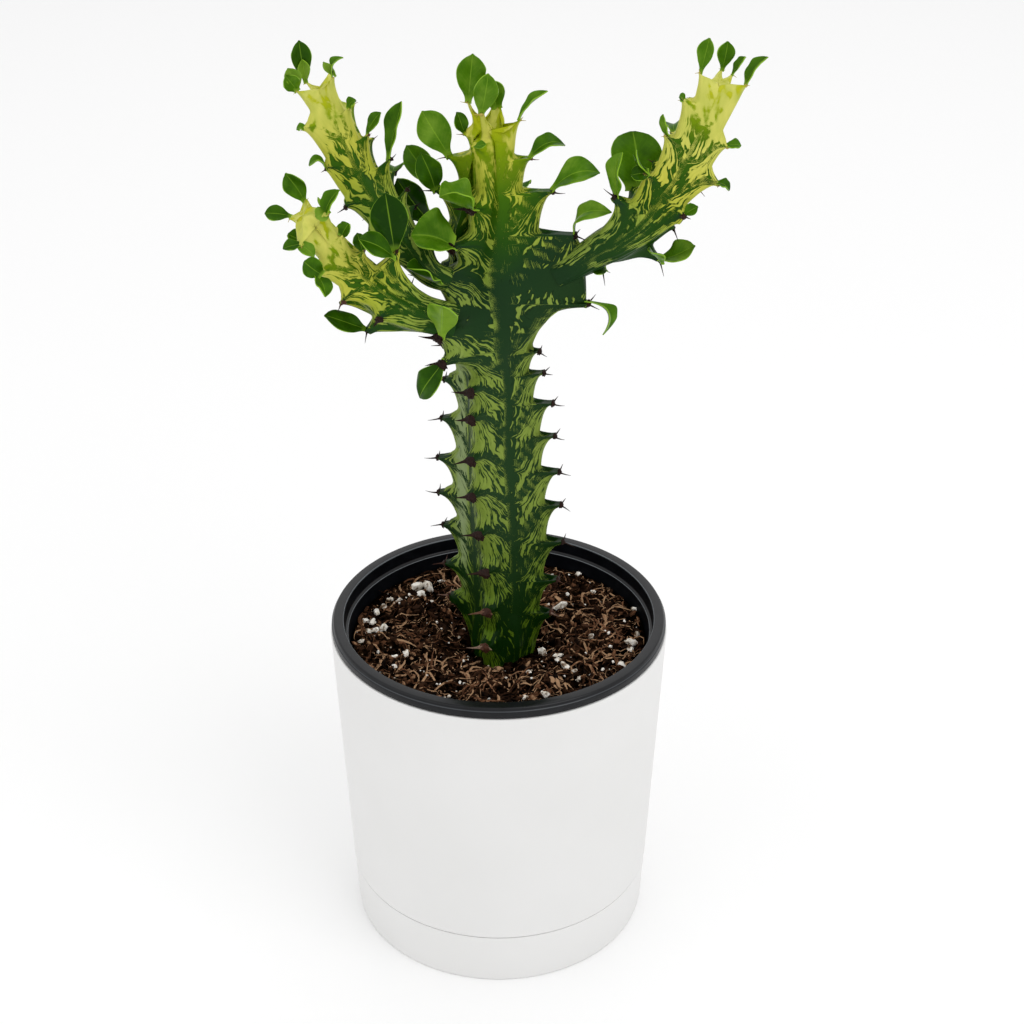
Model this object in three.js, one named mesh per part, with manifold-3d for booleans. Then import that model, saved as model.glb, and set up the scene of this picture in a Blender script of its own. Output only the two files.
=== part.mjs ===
// A potted African milk tree: an upright ribbed stem with three side branches and small spoon-shaped
// leaves, rooted in a black nursery pot. The pot hangs by its rim in a white cover pot on a saucer base.
import * as THREE from 'three';
import { mergeVertices } from 'three/addons/utils/BufferGeometryUtils.js';
import Module from 'manifold-3d';

const wasm = await Module();
wasm.setup();

// Driving dimensions in millimetres. The origin is on the floor, under the middle of the pot.
const RIM_RADIUS = 57;
const POT_TOP = 119;
const RIM_UNDERSIDE = 115.3;
const COVER_TOP = 115;
const COVER_TOP_RADIUS = 57.4;
const SEAM_HEIGHT = 20.5;
const SEAM_RADIUS = 53.3;
const BASE_RADIUS = 52.1;
const COVER_WALL = 2;
const GROWER_FLOOR = 26;
const GROWER_FLOOR_RADIUS = 39.8;
const GROWER_WALL = 1.2;
const RIM_BORE = 52.8;
const RIM_WALL = 1.2;
const RIM_EASE = 0.8;
const NECK_RADIUS = 53.9;
const NECK_BOTTOM = 112.5;
const LEDGE_HEIGHT = 114;
const LEDGE_RADIUS = 51.5;
const SAUCER_FLOOR = 2.4;
const COVER_FLOOR = 8;
const SOIL_EDGE = 108.9;
const SOIL_RADIUS = 50.5;
const SOIL_CROWN = 109.6;
const FIT = 0.35;
const ROUND_STEPS = 48;
const RING_STEP = 3.3;

const WHITE_PLASTIC = [0xe9e8e6, 0.45];
const BLACK_PLASTIC = [0x24262a, 0.4];
const SOIL = [0x3a2618, 0.95];
const STEM_GREEN = [0x3f6a2e, 0.5];
const LEAF_GREEN = [0x4f8a24, 0.4];

const plant = new THREE.Group();

function addMesh(parent, name, geometry, [color, roughness]) {
  const material = new THREE.MeshStandardMaterial({ color, roughness, metalness: 0 });
  const mesh = new THREE.Mesh(geometry, material);
  mesh.name = name;
  parent.add(mesh);
  return mesh;
}

function indexedGeometry(points, triangles) {
  const geometry = new THREE.BufferGeometry();
  geometry.setAttribute('position', new THREE.Float32BufferAttribute(points.flatMap((p) => p.toArray()), 3));
  geometry.setIndex(triangles.flat());
  return geometry;
}

function toSolid(geometry) {
  const bare = geometry.clone();
  bare.deleteAttribute('normal');
  bare.deleteAttribute('uv');
  const merged = mergeVertices(bare, 1e-3);
  return new wasm.Manifold(new wasm.Mesh({
    numProp: 3,
    vertProperties: merged.attributes.position.array,
    triVerts: Uint32Array.from(merged.index.array),
  }));
}

function fromSolid(solid) {
  const cut = solid.getMesh();
  const geometry = new THREE.BufferGeometry();
  geometry.setAttribute('position', new THREE.BufferAttribute(Float32Array.from(cut.vertProperties), 3));
  geometry.setIndex(Array.from(cut.triVerts));
  return geometry;
}

// A piece cut by its neighbour keeps only its main body.
function cutAway(geometry, ...tools) {
  let solid = toSolid(geometry);
  for (const tool of tools) solid = solid.subtract(tool);
  const bodies = solid.decompose();
  bodies.sort((a, b) => b.volume() - a.volume());
  return fromSolid(bodies[0]);
}

// The pots are turned shapes. Each outline runs from the axis up the outside and back down the inside.
function turned(outline) {
  const points = outline.map(([radius, height]) => new THREE.Vector2(radius, height));
  return new THREE.LatheGeometry(points, ROUND_STEPS).rotateX(Math.PI / 2);
}

function drainHoles(count, ring, radius, floor) {
  return Array.from({ length: count }, (_, i) => {
    const angle = (2 * Math.PI * (i + 0.5)) / count;
    const hole = new THREE.CylinderGeometry(radius, radius, 8, 12).rotateX(Math.PI / 2);
    return toSolid(hole.translate(ring * Math.cos(angle), ring * Math.sin(angle), floor));
  });
}

function addPots() {
  const pots = new THREE.Group();
  plant.add(pots);

  const saucerTop = SEAM_HEIGHT - FIT;
  const saucer = turned([
    [0, 0], [BASE_RADIUS - 0.8, 0], [BASE_RADIUS, 0.8], [SEAM_RADIUS - 0.1, saucerTop],
    [SEAM_RADIUS - 0.1 - COVER_WALL, saucerTop], [BASE_RADIUS - COVER_WALL, SAUCER_FLOOR], [0, SAUCER_FLOOR],
  ]);
  addMesh(pots, 'saucer_base', saucer, WHITE_PLASTIC);

  const neckRadius = SEAM_RADIUS - 0.1 - COVER_WALL - FIT;
  const cover = turned([
    [0, COVER_FLOOR], [neckRadius - 0.9, COVER_FLOOR], [neckRadius, SEAM_HEIGHT], [SEAM_RADIUS, SEAM_HEIGHT],
    [COVER_TOP_RADIUS, COVER_TOP], [COVER_TOP_RADIUS - COVER_WALL + 0.2, COVER_TOP],
    [SEAM_RADIUS - COVER_WALL, SEAM_HEIGHT + 2.5], [neckRadius - COVER_WALL, SEAM_HEIGHT - 0.5],
    [neckRadius - COVER_WALL - 0.7, COVER_FLOOR + COVER_WALL], [0, COVER_FLOOR + COVER_WALL],
  ]);
  addMesh(pots, 'cover_pot', cutAway(cover, ...drainHoles(4, 24, 4, COVER_FLOOR)), WHITE_PLASTIC);

  const grower = turned([
    [0, GROWER_FLOOR], [GROWER_FLOOR_RADIUS, GROWER_FLOOR], [RIM_BORE, NECK_BOTTOM],
    [NECK_RADIUS, NECK_BOTTOM + 0.7], [NECK_RADIUS, POT_TOP - RIM_WALL],
    [RIM_RADIUS - RIM_WALL, POT_TOP - RIM_WALL], [RIM_RADIUS - RIM_WALL, RIM_UNDERSIDE],
    [RIM_RADIUS, RIM_UNDERSIDE], [RIM_RADIUS, POT_TOP - RIM_EASE], [RIM_RADIUS - RIM_EASE, POT_TOP],
    [RIM_BORE + RIM_EASE, POT_TOP], [RIM_BORE, POT_TOP - RIM_EASE], [RIM_BORE - 0.3, LEDGE_HEIGHT + 0.3],
    [LEDGE_RADIUS, LEDGE_HEIGHT - 0.2], [LEDGE_RADIUS - 0.1, NECK_BOTTOM - 0.2],
    [GROWER_FLOOR_RADIUS - GROWER_WALL, GROWER_FLOOR + GROWER_WALL], [0, GROWER_FLOOR + GROWER_WALL],
  ]);
  addMesh(pots, 'grower_pot', cutAway(grower, ...drainHoles(6, 28, 4, GROWER_FLOOR)), BLACK_PLASTIC);
}

// A stem is a spline with toothed ribs. A tooth is [length along the stem, reach from the middle], and
// where they differ from its rib's and its stem's, the angle and the share of reach left in the notch
// above it. Angles are degrees about the stem, from its right or lower side (0) towards the front (90).
const TRUNK = {
  start: 90,
  path: [[1.5, -1, 90], [1.5, -1, 113], [0.5, -0.5, 160], [-0.5, 0, 210], [-1.5, 0, 260], [-2.5, 0, 299]],
  valley: [
    [90, 9], [113, 12.5], [125, 10.5], [205, 10], [222, 11.5], [240, 13], [258, 11.5], [275, 7], [296, 3.5],
  ],
  edge: 1.3,
  notch: 0.79,
  foot: 11,
  ribs: {
    right: { angle: 24, teeth: [
      [124, 18], [137.5, 20.5], [152.5, 22.5], [166, 22], [178, 21.5], [190.5, 20], [202, 19.5], [212, 16.5],
      [219, 15], [238, 31.5, 24, 1.12], [259, 27.5], [271.5, 20.5], [281, 13.5], [292.5, 10.5]] },
    front: { angle: 115, teeth: [
      [117.5, 19.5, 108], [131, 18.5, 106], [146, 18.5, 107], [161, 20, 110], [175, 21], [187.5, 20.5],
      [201.5, 19.5], [210.5, 19, 116], [222, 26.5, 128, 0.95], [231, 27, 129], [247, 24, 147], [256, 17, 138],
      [267.5, 12, 122], [285, 8.5, 122], [294, 4.5, 122]] },
    left: { angle: 190, teeth: [
      [125, 18.5], [138, 19.5], [153, 19.5], [165, 20.5], [178, 20.5], [192.5, 18.5], [206, 17], [218, 17],
      [231, 18], [244, 19], [256, 18.5], [269, 17.5], [279.5, 13], [287, 8], [296.5, 6.5]] },
    back: { angle: 290, teeth: [
      [119, 17], [132, 19], [146, 20], [160, 21], [173, 21], [186, 20], [198, 19], [210, 19], [223, 24],
      [237, 27], [250, 25], [262, 21], [273, 15], [283, 11], [293, 7]] },
  },
};

const BRANCH_RIGHT = {
  start: -7,
  path: [[18.5, -9, 246], [24, -11, 250], [31, -14, 256], [36.5, -16, 260], [45, -18, 268.5], [53, -20, 282],
    [58, -21, 294.5], [61.5, -22, 305], [63, -22, 311]],
  valley: [[-7, 3.6], [12, 5], [25, 7], [45, 6.5], [62, 5], [76, 3.2]],
  edge: 0.9,
  notch: 0.82,
  foot: 4.5,
  ribs: {
    lower: { angle: -40, teeth: [
      [5.5, 6.5, -5], [21.5, 13.5, -5], [29, 10, -20], [41, 11, -35], [53, 10.5, -45], [65, 9, -50],
      [75.7, 6, -50]] },
    front: { angle: 50, teeth: [[37.5, 11, 55], [49.5, 13.5, 45], [59, 10.5, 40], [75.7, 8.5, 35]] },
    upper: { angle: 150, teeth: [[30.5, 16], [42, 12], [55.5, 11.5], [67.5, 10.5], [75.7, 8]] },
    back: { angle: 240, teeth: [[28.5, 12.5], [40, 12], [52, 11], [64, 9.5], [75.7, 7]] },
  },
};

const BRANCH_LEFT_UPPER = {
  start: -6,
  path: [[-15.5, -10.5, 245], [-20.5, -12, 248], [-26, -8, 254], [-31.5, -4, 260.5], [-37, 0, 268],
    [-42, 3, 276], [-46, 5, 285], [-50, 6, 293.5], [-54, 7, 301.5]],
  valley: [[-6, 3.6], [12, 5], [30, 5.5], [50, 4.8], [67, 3]],
  edge: 0.9,
  notch: 0.64,
  foot: 4,
  ribs: {
    right: { angle: 20, teeth: [
      [12, 9, 15], [24, 11, 18], [35.5, 12, 20], [46.5, 9, 28], [56, 8, 35], [65.5, 8, 38]] },
    left: { angle: 140, teeth: [[10, 8], [19, 9, 140, 0.8], [30, 10.5, 140, 0.86], [42, 10.5, 140, 0.86],
      [56.5, 11.5, 140, 0.86], [67, 7.5]] },
    lower: { angle: 230, teeth: [[14, 9], [26, 10], [38, 10], [50, 9], [60, 8], [67, 6]] },
    back: { angle: 310, teeth: [[8, 8], [20, 10], [32, 11], [44, 10], [55, 9], [67, 7]] },
  },
};

const BRANCH_LEFT_LOWER = {
  start: -5,
  path: [[-14, -14.5, 233], [-18.5, -16, 235], [-24.5, -20, 238.5], [-30.5, -22, 242.5], [-39, -24, 250],
    [-46, -25, 258], [-51, -26, 266], [-55.5, -26, 271], [-58, -26.5, 273.5]],
  valley: [[-5, 4.5], [15, 6.2], [35, 5.5], [57, 3]],
  edge: 0.9,
  notch: 0.72,
  foot: 6,
  ribs: {
    upper: { angle: 20, teeth: [[28, 14.5, 10], [36, 8.5, 20], [44.5, 7, 28], [50.5, 7.5, 32]] },
    front: { angle: 115, teeth: [[20, 10, 112], [31, 12.5], [40.5, 12, 118], [49.5, 9, 125]] },
    lower: { angle: 195, teeth: [[16, 14, 190], [26.5, 12.2, 198], [36, 11, 205], [46, 9, 210], [56, 5.5, 215]] },
    back: { angle: 290, teeth: [[10, 9], [22, 11], [33, 10], [43, 9], [55.5, 6]] },
  },
};

const STEMS = {
  trunk: TRUNK,
  branch_right: BRANCH_RIGHT,
  branch_left_upper: BRANCH_LEFT_UPPER,
  branch_left_lower: BRANCH_LEFT_LOWER,
};
const TOWARDS_VIEWER = new THREE.Vector3(0, -1, 0);
const LEDGE_RISE = 0.6;
const LEDGE_SHARE = 0.25;
const FLANK_CURVE = 1.6;
const RIB_ROOT = 0.78;
const ROOT_SPREAD = 2.4;
const POINTS_PER_SECTOR = 5;

for (const stem of Object.values(STEMS)) {
  const points = stem.path.map((p) => new THREE.Vector3(...p));
  stem.curve = new THREE.CatmullRomCurve3(points, false, 'catmullrom', 0.5);
  stem.length = stem.curve.getLength();
}

// The point at a length along the stem, at a reach and an angle about it.
function stemPoint(stem, along, reach, angle, sideways = 0) {
  const share = THREE.MathUtils.clamp((along - stem.start) / stem.length, 0, 1);
  const middle = stem.curve.getPointAt(share);
  const forward = stem.curve.getTangentAt(share);
  middle.addScaledVector(forward, along - stem.start - share * stem.length);
  const front = TOWARDS_VIEWER.clone().addScaledVector(forward, -TOWARDS_VIEWER.dot(forward)).normalize();
  const right = new THREE.Vector3().crossVectors(forward, front);
  const turn = THREE.MathUtils.degToRad(angle);
  middle.addScaledVector(right, reach * Math.cos(turn) - sideways * Math.sin(turn));
  return middle.addScaledVector(front, reach * Math.sin(turn) + sideways * Math.cos(turn));
}

function valleyRadius(stem, along) {
  const found = stem.valley.findIndex(([s]) => s >= along);
  const next = found < 0 ? stem.valley.length - 1 : Math.max(1, found);
  const [s0, r0] = stem.valley[next - 1];
  const [s1, r1] = stem.valley[next];
  return THREE.MathUtils.mapLinear(THREE.MathUtils.clamp(along, s0, s1), s0, s1, r0, r1);
}

// A rib's edge, ring by ring: out along a tooth's hollow flank to its tip, then back in on a flat ledge.
function ribEdge(stem, rib, rings) {
  const step = stem.length / rings;
  const angleOf = (tooth) => tooth[2] ?? rib.angle;
  const knots = [[stem.start, stem.foot, angleOf(rib.teeth[0])], ...rib.teeth];
  const places = knots.map(([s]) => Math.min(rings, Math.round((s - stem.start) / step)));
  const edge = [];
  knots.forEach(([along, reach], j) => {
    const next = knots[j + 1] ?? [stem.start + stem.length, valleyRadius(stem, 1e9), angleOf(knots[j])];
    const span = (places[j + 1] ?? rings) - places[j];
    const ledge = j === 0 ? 0 : Math.max(1, Math.round(LEDGE_SHARE * span));
    const notch = j === 0 ? reach : (knots[j][3] ?? stem.notch) * Math.min(reach, next[1]);
    const after = knots[j + 2] ?? next;
    const nextNotch = (next[3] ?? stem.notch) * Math.min(next[1], after[1]);
    for (let i = 0; i < span; i += 1) {
      const onLedge = i < ledge;
      const share = onLedge ? i / ledge : (i - ledge) / (span - ledge);
      const rise = j === 0 ? 0 : LEDGE_RISE;
      edge.push({
        along: onLedge ? along + rise * share : THREE.MathUtils.lerp(along + rise, next[0], share),
        reach: onLedge
          ? THREE.MathUtils.lerp(reach, notch, share)
          : notch + (next[1] - notch) * share ** FLANK_CURVE,
        angle: THREE.MathUtils.lerp(angleOf(knots[j]), angleOf(next), i / span),
        root: RIB_ROOT * THREE.MathUtils.lerp(notch, nextNotch, i / span),
      });
    }
    if (j === knots.length - 1) {
      const end = span ? next[1] : reach;
      edge.push({ along: next[0], reach: end, angle: angleOf(next), root: RIB_ROOT * stem.notch * end });
    }
  });
  return edge;
}

function stemGeometry(stem, grow = 0) {
  const rings = Math.round(stem.length / RING_STEP);
  const edges = Object.values(stem.ribs).map((rib) => ribEdge(stem, rib, rings));
  const points = [];
  for (let i = 0; i <= rings; i += 1) {
    const along = stem.start + (stem.length * i) / rings;
    edges.forEach((edge, k) => {
      const here = edge[i];
      const other = edges[(k + 1) % edges.length][i];
      const gap = ((other.angle - here.angle) % 360 + 360) % 360;
      const spread = stem.edge * ROOT_SPREAD + grow;
      points.push(
        stemPoint(stem, here.along, here.reach + grow, here.angle, stem.edge + grow),
        stemPoint(stem, along, here.root + grow, here.angle, spread),
        stemPoint(stem, along, valleyRadius(stem, along) + grow, here.angle + gap / 2),
        stemPoint(stem, along, other.root + grow, other.angle, -spread),
        stemPoint(stem, other.along, other.reach + grow, other.angle, -stem.edge - grow),
      );
    });
  }
  const around = points.length / (rings + 1);
  const triangles = [];
  for (let i = 0; i < rings; i += 1) {
    for (let n = 0; n < around; n += 1) {
      const a = i * around + n;
      const b = i * around + ((n + 1) % around);
      const mirrored = n % POINTS_PER_SECTOR === POINTS_PER_SECTOR - 2;
      if (mirrored) triangles.push([a, a + around, b + around], [a, b + around, b]);
      else triangles.push([a, a + around, b], [b, a + around, b + around]);
    }
  }
  const top = rings * around;
  const bottomCentre = points.push(stemPoint(stem, stem.start - grow, 0, 0)) - 1;
  const topCentre = points.push(stemPoint(stem, stem.start + stem.length + grow, 0, 0)) - 1;
  for (let n = 0; n < around; n += 1) {
    const m = (n + 1) % around;
    triangles.push([bottomCentre, n, m], [topCentre, top + m, top + n]);
  }
  return indexedGeometry(points, triangles);
}

// Leaves: stem, rib, tooth, then how far the tip lies from the base, the width, the way the upper face
// looks, how far the blade arches towards it, and how far the base sits to one side of the tooth.
const LEAVES = {
  leaf_trunk_right_1: ['trunk', 'right', 9, [6, -3, -10], 8, [0.8, -0.2, 0.5], 5],
  leaf_trunk_right_2: ['trunk', 'right', 10, [10.5, -8.5, 10.5], 6, [-0.3, -0.4, 0.9], 4.5],
  leaf_trunk_right_3: ['trunk', 'right', 11, [14.5, -2, 6.5], 9, [-0.2, -0.6, 0.75], 3.5],
  leaf_trunk_right_4: ['trunk', 'right', 12, [10.5, 2, 3.5], 7, [-0.1, -0.5, 0.85], 3],
  leaf_trunk_right_5: ['trunk', 'right', 13, [8, 2, 8.5], 5, [-0.6, -0.3, 0.7], 1.5],
  leaf_trunk_front_1: ['trunk', 'front', 8, [-8, 0, -13], 9, [-0.4, -0.9, 0.3], 2],
  leaf_trunk_front_2: ['trunk', 'front', 9, [1, -12.5, 16], 9, [0.3, 0.8, 0.5], 1, -1.8],
  leaf_trunk_front_3: ['trunk', 'front', 10, [-9.5, -4.5, 7], 10, [0.3, 0.2, 1], 0, -6],
  leaf_trunk_front_4: ['trunk', 'front', 11, [-12.5, -3, 5], 14, [0.1, -0.55, 0.85], 1],
  leaf_trunk_front_5: ['trunk', 'front', 12, [-10, -4, 5], 13, [0.5, -0.15, 0.85], 0],
  leaf_trunk_front_6: ['trunk', 'front', 14, [2.5, -2, 12.5], 8, [0, -1, 0.1], 0.5],
  leaf_trunk_left_1: ['trunk', 'left', 10, [-12.5, 5.5, 14.5], 10, [-0.5, -0.8, 0.2], 0, 1.5],
  leaf_trunk_left_2: ['trunk', 'left', 11, [-4, -2, 13], 8, [0.3, -0.9, 0.2], 1, -1.5],
  leaf_trunk_left_3: ['trunk', 'left', 11, [-10, 7, 11.5], 8, [-0.3, -0.5, 0.8], 2, 2],
  leaf_trunk_left_4: ['trunk', 'left', 12, [-8, -1, 14.5], 10, [0.3, -0.9, 0.3], 1],
  leaf_trunk_left_5: ['trunk', 'left', 13, [-2.5, 0, 7], 4.5, [0.2, -0.9, 0.2], 0.5],
  leaf_trunk_left_6: ['trunk', 'left', 14, [1.5, 0.5, 14.5], 9, [0, -1, 0.1], 0, 0.3],
  leaf_trunk_back_1: ['trunk', 'back', 10, [4, 12, 2], 10, [0, -0.1, 1], 2.5],
  leaf_trunk_back_2: ['trunk', 'back', 11, [1, 10, -2], 9, [0, 0, 1], 2],
  leaf_trunk_back_3: ['trunk', 'back', 12, [-1, 8, -2], 7, [0, 0, 1], 1.5],
  leaf_trunk_back_4: ['trunk', 'back', 14, [-1, -1, 7], 7, [0, -1, 0.1], 0.5],
  leaf_left_upper_1: ['branch_left_upper', 'right', 2, [4, 2, 17.5], 6, [-0.7, -0.7, 0.1], 0.5],
  leaf_left_upper_2: ['branch_left_upper', 'right', 3, [4.5, -1, 7.5], 4.5, [-0.5, -0.6, 0.5], 1],
  leaf_left_upper_3: ['branch_left_upper', 'right', 5, [3.5, 0, 6.5], 3.5, [-0.6, -0.3, 0.7], 1.5],
  leaf_left_upper_4: ['branch_left_upper', 'left', 3, [-5, -2, 2], 5, [0, -0.3, 1], 2],
  leaf_left_upper_5: ['branch_left_upper', 'left', 5, [-3, -2, 5], 5, [0.3, -1, 0], 0.5],
  leaf_left_upper_6: ['branch_left_upper', 'lower', 5, [-1.5, 0, 13], 6, [0, -1, 0.1], 0.5],
  leaf_left_upper_7: ['branch_left_upper', 'back', 2, [1, 8, -1], 6, [0, 0.1, 1], 1.5],
  leaf_left_lower_1: ['branch_left_lower', 'upper', 0, [-2, -2, 19], 11, [0.1, -1, 0.1], 1, -0.5],
  leaf_left_lower_2: ['branch_left_lower', 'upper', 0, [-10, -5, 8], 8, [0.5, -0.5, 0.7], 1, 3],
  leaf_left_lower_3: ['branch_left_lower', 'upper', 2, [2.5, 0, 4], 4.5, [-0.5, -0.8, 0.2], 0.5],
  leaf_left_lower_4: ['branch_left_lower', 'upper', 3, [4.5, 0, 8], 5, [-0.6, -0.7, 0.3], 1],
  leaf_left_lower_5: ['branch_left_lower', 'front', 2, [4, -8, -4], 5, [0.5, -0.5, 0.7], 1, 0.8],
  leaf_left_lower_6: ['branch_left_lower', 'front', 2, [-5, -1, 4.5], 6, [0.3, -0.9, 0.3], 0.5, -1.2],
  leaf_left_lower_7: ['branch_left_lower', 'front', 3, [-6, -1, -1], 4, [0, -0.5, 0.85], 0.5],
  leaf_left_lower_8: ['branch_left_lower', 'lower', 0, [-12.5, -4, 6.5], 7, [0, -0.7, 0.7], 1],
  leaf_left_lower_9: ['branch_left_lower', 'lower', 4, [-8, 0, 1], 5, [0, -0.7, 0.7], 0.5],
  leaf_left_lower_10: ['branch_left_lower', 'back', 4, [-5, -1, 9], 6, [0.3, -1, 0], 0.5],
  leaf_right_1: ['branch_right', 'upper', 0, [1, -2, 14.5], 7, [-0.8, -0.5, 0.1], 1.5],
  leaf_right_2: ['branch_right', 'upper', 1, [-4, -1, 7.5], 4, [-0.5, -0.2, -0.8], 1],
  leaf_right_3: ['branch_right', 'upper', 4, [2, 0, 10], 4.5, [-0.3, -0.9, 0.1], 0.5],
  leaf_right_4: ['branch_right', 'back', 0, [-1, 5, 16.5], 14.5, [0.1, -1, 0.1], 0.5],
  leaf_right_5: ['branch_right', 'back', 2, [2, 9, 0], 6, [0, 0.1, 1], 1.5],
  leaf_right_6: ['branch_right', 'front', 3, [5.5, -1.5, 8.5], 4.5, [-0.6, -0.5, 0.5], 1],
  leaf_right_7: ['branch_right', 'front', 1, [4, -1, -2], 4, [0.3, -0.3, 0.9], 1],
  leaf_right_8: ['branch_right', 'lower', 1, [10.5, -3, 5.5], 7, [-0.3, -0.4, 0.85], -1, 0.4],
  leaf_right_9: ['branch_right', 'lower', 1, [-4, -6, 6], 6, [0.3, 0.2, 0.9], 0.5, 2],
  leaf_right_10: ['branch_right', 'lower', 6, [-1.5, 0, 9], 5, [0, -1, 0.1], 0.5, -1.5],
  leaf_right_11: ['branch_right', 'lower', 6, [3.5, 0, 5.5], 3, [-0.6, -0.4, 0.7], 0.5, 1.2],
};
const LEAF_STATIONS = [[0, 0.14], [0.1, 0.18], [0.35, 0.75], [0.62, 1], [0.85, 0.62], [1, 0.06]];
const LEAF_THICKNESS = 0.7;
const LEAF_FOLD = 0.35;
const LEAF_STANDOFF = 1;

// A leaf is a thin blade, folded a little along its middle, with an edge all round.
function leafGeometry([stemName, ribName, toothIndex, reach, width, face, arch, side = 0]) {
  const stem = STEMS[stemName];
  const rib = stem.ribs[ribName];
  const [along, out, angle = rib.angle] = rib.teeth[toothIndex];
  const base = stemPoint(stem, along + LEAF_STANDOFF, out - 0.2, angle, side);
  const axis = new THREE.Vector3(...reach);
  const upper = new THREE.Vector3(...face);
  upper.addScaledVector(axis, -axis.dot(upper) / axis.lengthSq()).normalize();
  const across = new THREE.Vector3().crossVectors(axis, upper).normalize();
  const points = [];
  for (const [share, spread] of LEAF_STATIONS) {
    const middle = base.clone().addScaledVector(axis, share);
    middle.addScaledVector(upper, 4 * arch * share * (1 - share));
    const half = (spread * width) / 2;
    const thick = Math.min(LEAF_THICKNESS, 0.25 + half) / 2;
    const raised = LEAF_FOLD * half;
    points.push(
      middle.clone().addScaledVector(across, half).addScaledVector(upper, raised),
      middle.clone().addScaledVector(upper, thick),
      middle.clone().addScaledVector(across, -half).addScaledVector(upper, raised),
      middle.clone().addScaledVector(upper, -thick),
    );
  }
  const triangles = [[0, 1, 3], [1, 2, 3]];
  for (let i = 0; i + 1 < LEAF_STATIONS.length; i += 1) {
    for (let n = 0; n < 4; n += 1) {
      const a = 4 * i + n;
      const b = 4 * i + ((n + 1) % 4);
      triangles.push([a, a + 4, b], [b, a + 4, b + 4]);
    }
  }
  const tip = 4 * (LEAF_STATIONS.length - 1);
  triangles.push([tip, tip + 3, tip + 1], [tip + 1, tip + 3, tip + 2]);
  return indexedGeometry(points, triangles);
}

function addLeaves() {
  const leaves = new THREE.Group();
  plant.add(leaves);
  for (const [name, leaf] of Object.entries(LEAVES)) addMesh(leaves, name, leafGeometry(leaf), LEAF_GREEN);
}

function addStems() {
  const wideTrunk = toSolid(stemGeometry(TRUNK, FIT));
  const room = wasm.Manifold.union([-FIT, 0, FIT].map((lift) => wideTrunk.translate([0, 0, lift])));
  addMesh(plant, 'trunk', stemGeometry(TRUNK), STEM_GREEN);
  for (const name of ['branch_right', 'branch_left_upper', 'branch_left_lower']) {
    addMesh(plant, name, cutAway(stemGeometry(STEMS[name]), room), STEM_GREEN);
  }
  const soilBottom = GROWER_FLOOR + GROWER_WALL + FIT;
  const mix = turned([
    [0, soilBottom], [GROWER_FLOOR_RADIUS - GROWER_WALL - FIT, soilBottom], [SOIL_RADIUS, SOIL_EDGE],
    [40, SOIL_CROWN - 0.2], [22, SOIL_CROWN], [0, SOIL_CROWN],
  ]);
  addMesh(plant, 'potting_mix', cutAway(mix, room), SOIL);
}

addPots();
addStems();
addLeaves();

export default plant;
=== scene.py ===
# A potted African milk tree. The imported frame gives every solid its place, and each section below makes
# one piece or one group of like pieces of the plant and its pots, in the order they are put together.
import math
import random

import bmesh
import bpy
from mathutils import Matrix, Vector, noise


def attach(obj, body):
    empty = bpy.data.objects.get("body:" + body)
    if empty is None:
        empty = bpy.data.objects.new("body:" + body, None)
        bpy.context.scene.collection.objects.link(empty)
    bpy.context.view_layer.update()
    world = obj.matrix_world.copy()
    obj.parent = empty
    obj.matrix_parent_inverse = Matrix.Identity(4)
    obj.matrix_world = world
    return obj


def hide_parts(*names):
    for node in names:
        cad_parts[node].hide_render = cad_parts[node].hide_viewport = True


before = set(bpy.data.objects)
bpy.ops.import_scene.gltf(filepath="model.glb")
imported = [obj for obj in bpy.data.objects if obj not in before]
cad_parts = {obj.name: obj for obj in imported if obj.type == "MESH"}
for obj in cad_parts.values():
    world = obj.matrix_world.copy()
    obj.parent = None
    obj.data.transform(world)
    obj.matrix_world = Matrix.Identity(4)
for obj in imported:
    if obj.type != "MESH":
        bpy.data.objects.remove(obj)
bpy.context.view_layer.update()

# Camera, floor and studio light. The camera stands a little above the plant and looks down on it, on the
# photo's own line of sight. A wide pale sheet is the floor, with one large soft light high on the right,
# two weaker ones on the left and behind, and an even bright room.
MM = 0.001  # the meshes below are measured in millimetres
CAMERA_PLACE = (0.00451, -0.51938, 0.45073)
CAMERA_TILT = 60.607
CAMERA_LENS = 63.28
ROOM_LIGHT = 0.9
FLOOR_GREY = 0.965
FLOOR_HALF_WIDTH = 4000
LIT_PLACE = Vector((0, 0, 0.12))
SOFT_LIGHTS = {  # watts, size in metres, place
    "key_light": (3.4, 0.8, (0.6, -0.6, 1.2)),
    "fill_light": (1.2, 1.2, (-0.9, -0.5, 0.9)),
    "back_light": (1.2, 1.2, (0.1, 1.1, 1.2)),
}
scene = bpy.context.scene
camera_data = bpy.data.cameras.new("camera")
camera_data.lens = CAMERA_LENS
camera_data.clip_start = 0.01
camera = bpy.data.objects.new("camera", camera_data)
camera.location = CAMERA_PLACE
camera.rotation_euler = (math.radians(CAMERA_TILT), 0, 0)
scene.collection.objects.link(camera)
scene.camera = camera
scene.view_settings.view_transform = "Standard"

for light_name, (watts, size, place) in SOFT_LIGHTS.items():
    light_data = bpy.data.lights.new(light_name, "AREA")
    light_data.energy = watts
    light_data.size = size
    light = bpy.data.objects.new(light_name, light_data)
    light.location = place
    light.rotation_euler = (LIT_PLACE - Vector(place)).to_track_quat("-Z", "Y").to_euler()
    scene.collection.objects.link(light)

room = bpy.data.worlds.new("room")
room.use_nodes = True
room.node_tree.nodes["Background"].inputs["Color"].default_value = (1, 1, 1, 1)
room.node_tree.nodes["Background"].inputs["Strength"].default_value = ROOM_LIGHT
scene.world = room


def new_material(name, roughness, specular=0.5):
    """A Principled material, with its node tree and its shader."""
    material = bpy.data.materials.new(name)
    material.use_nodes = True
    shader = material.node_tree.nodes["Principled BSDF"]
    shader.inputs["Roughness"].default_value = roughness
    shader.inputs["Specular IOR Level"].default_value = specular
    return material, material.node_tree, shader


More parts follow.
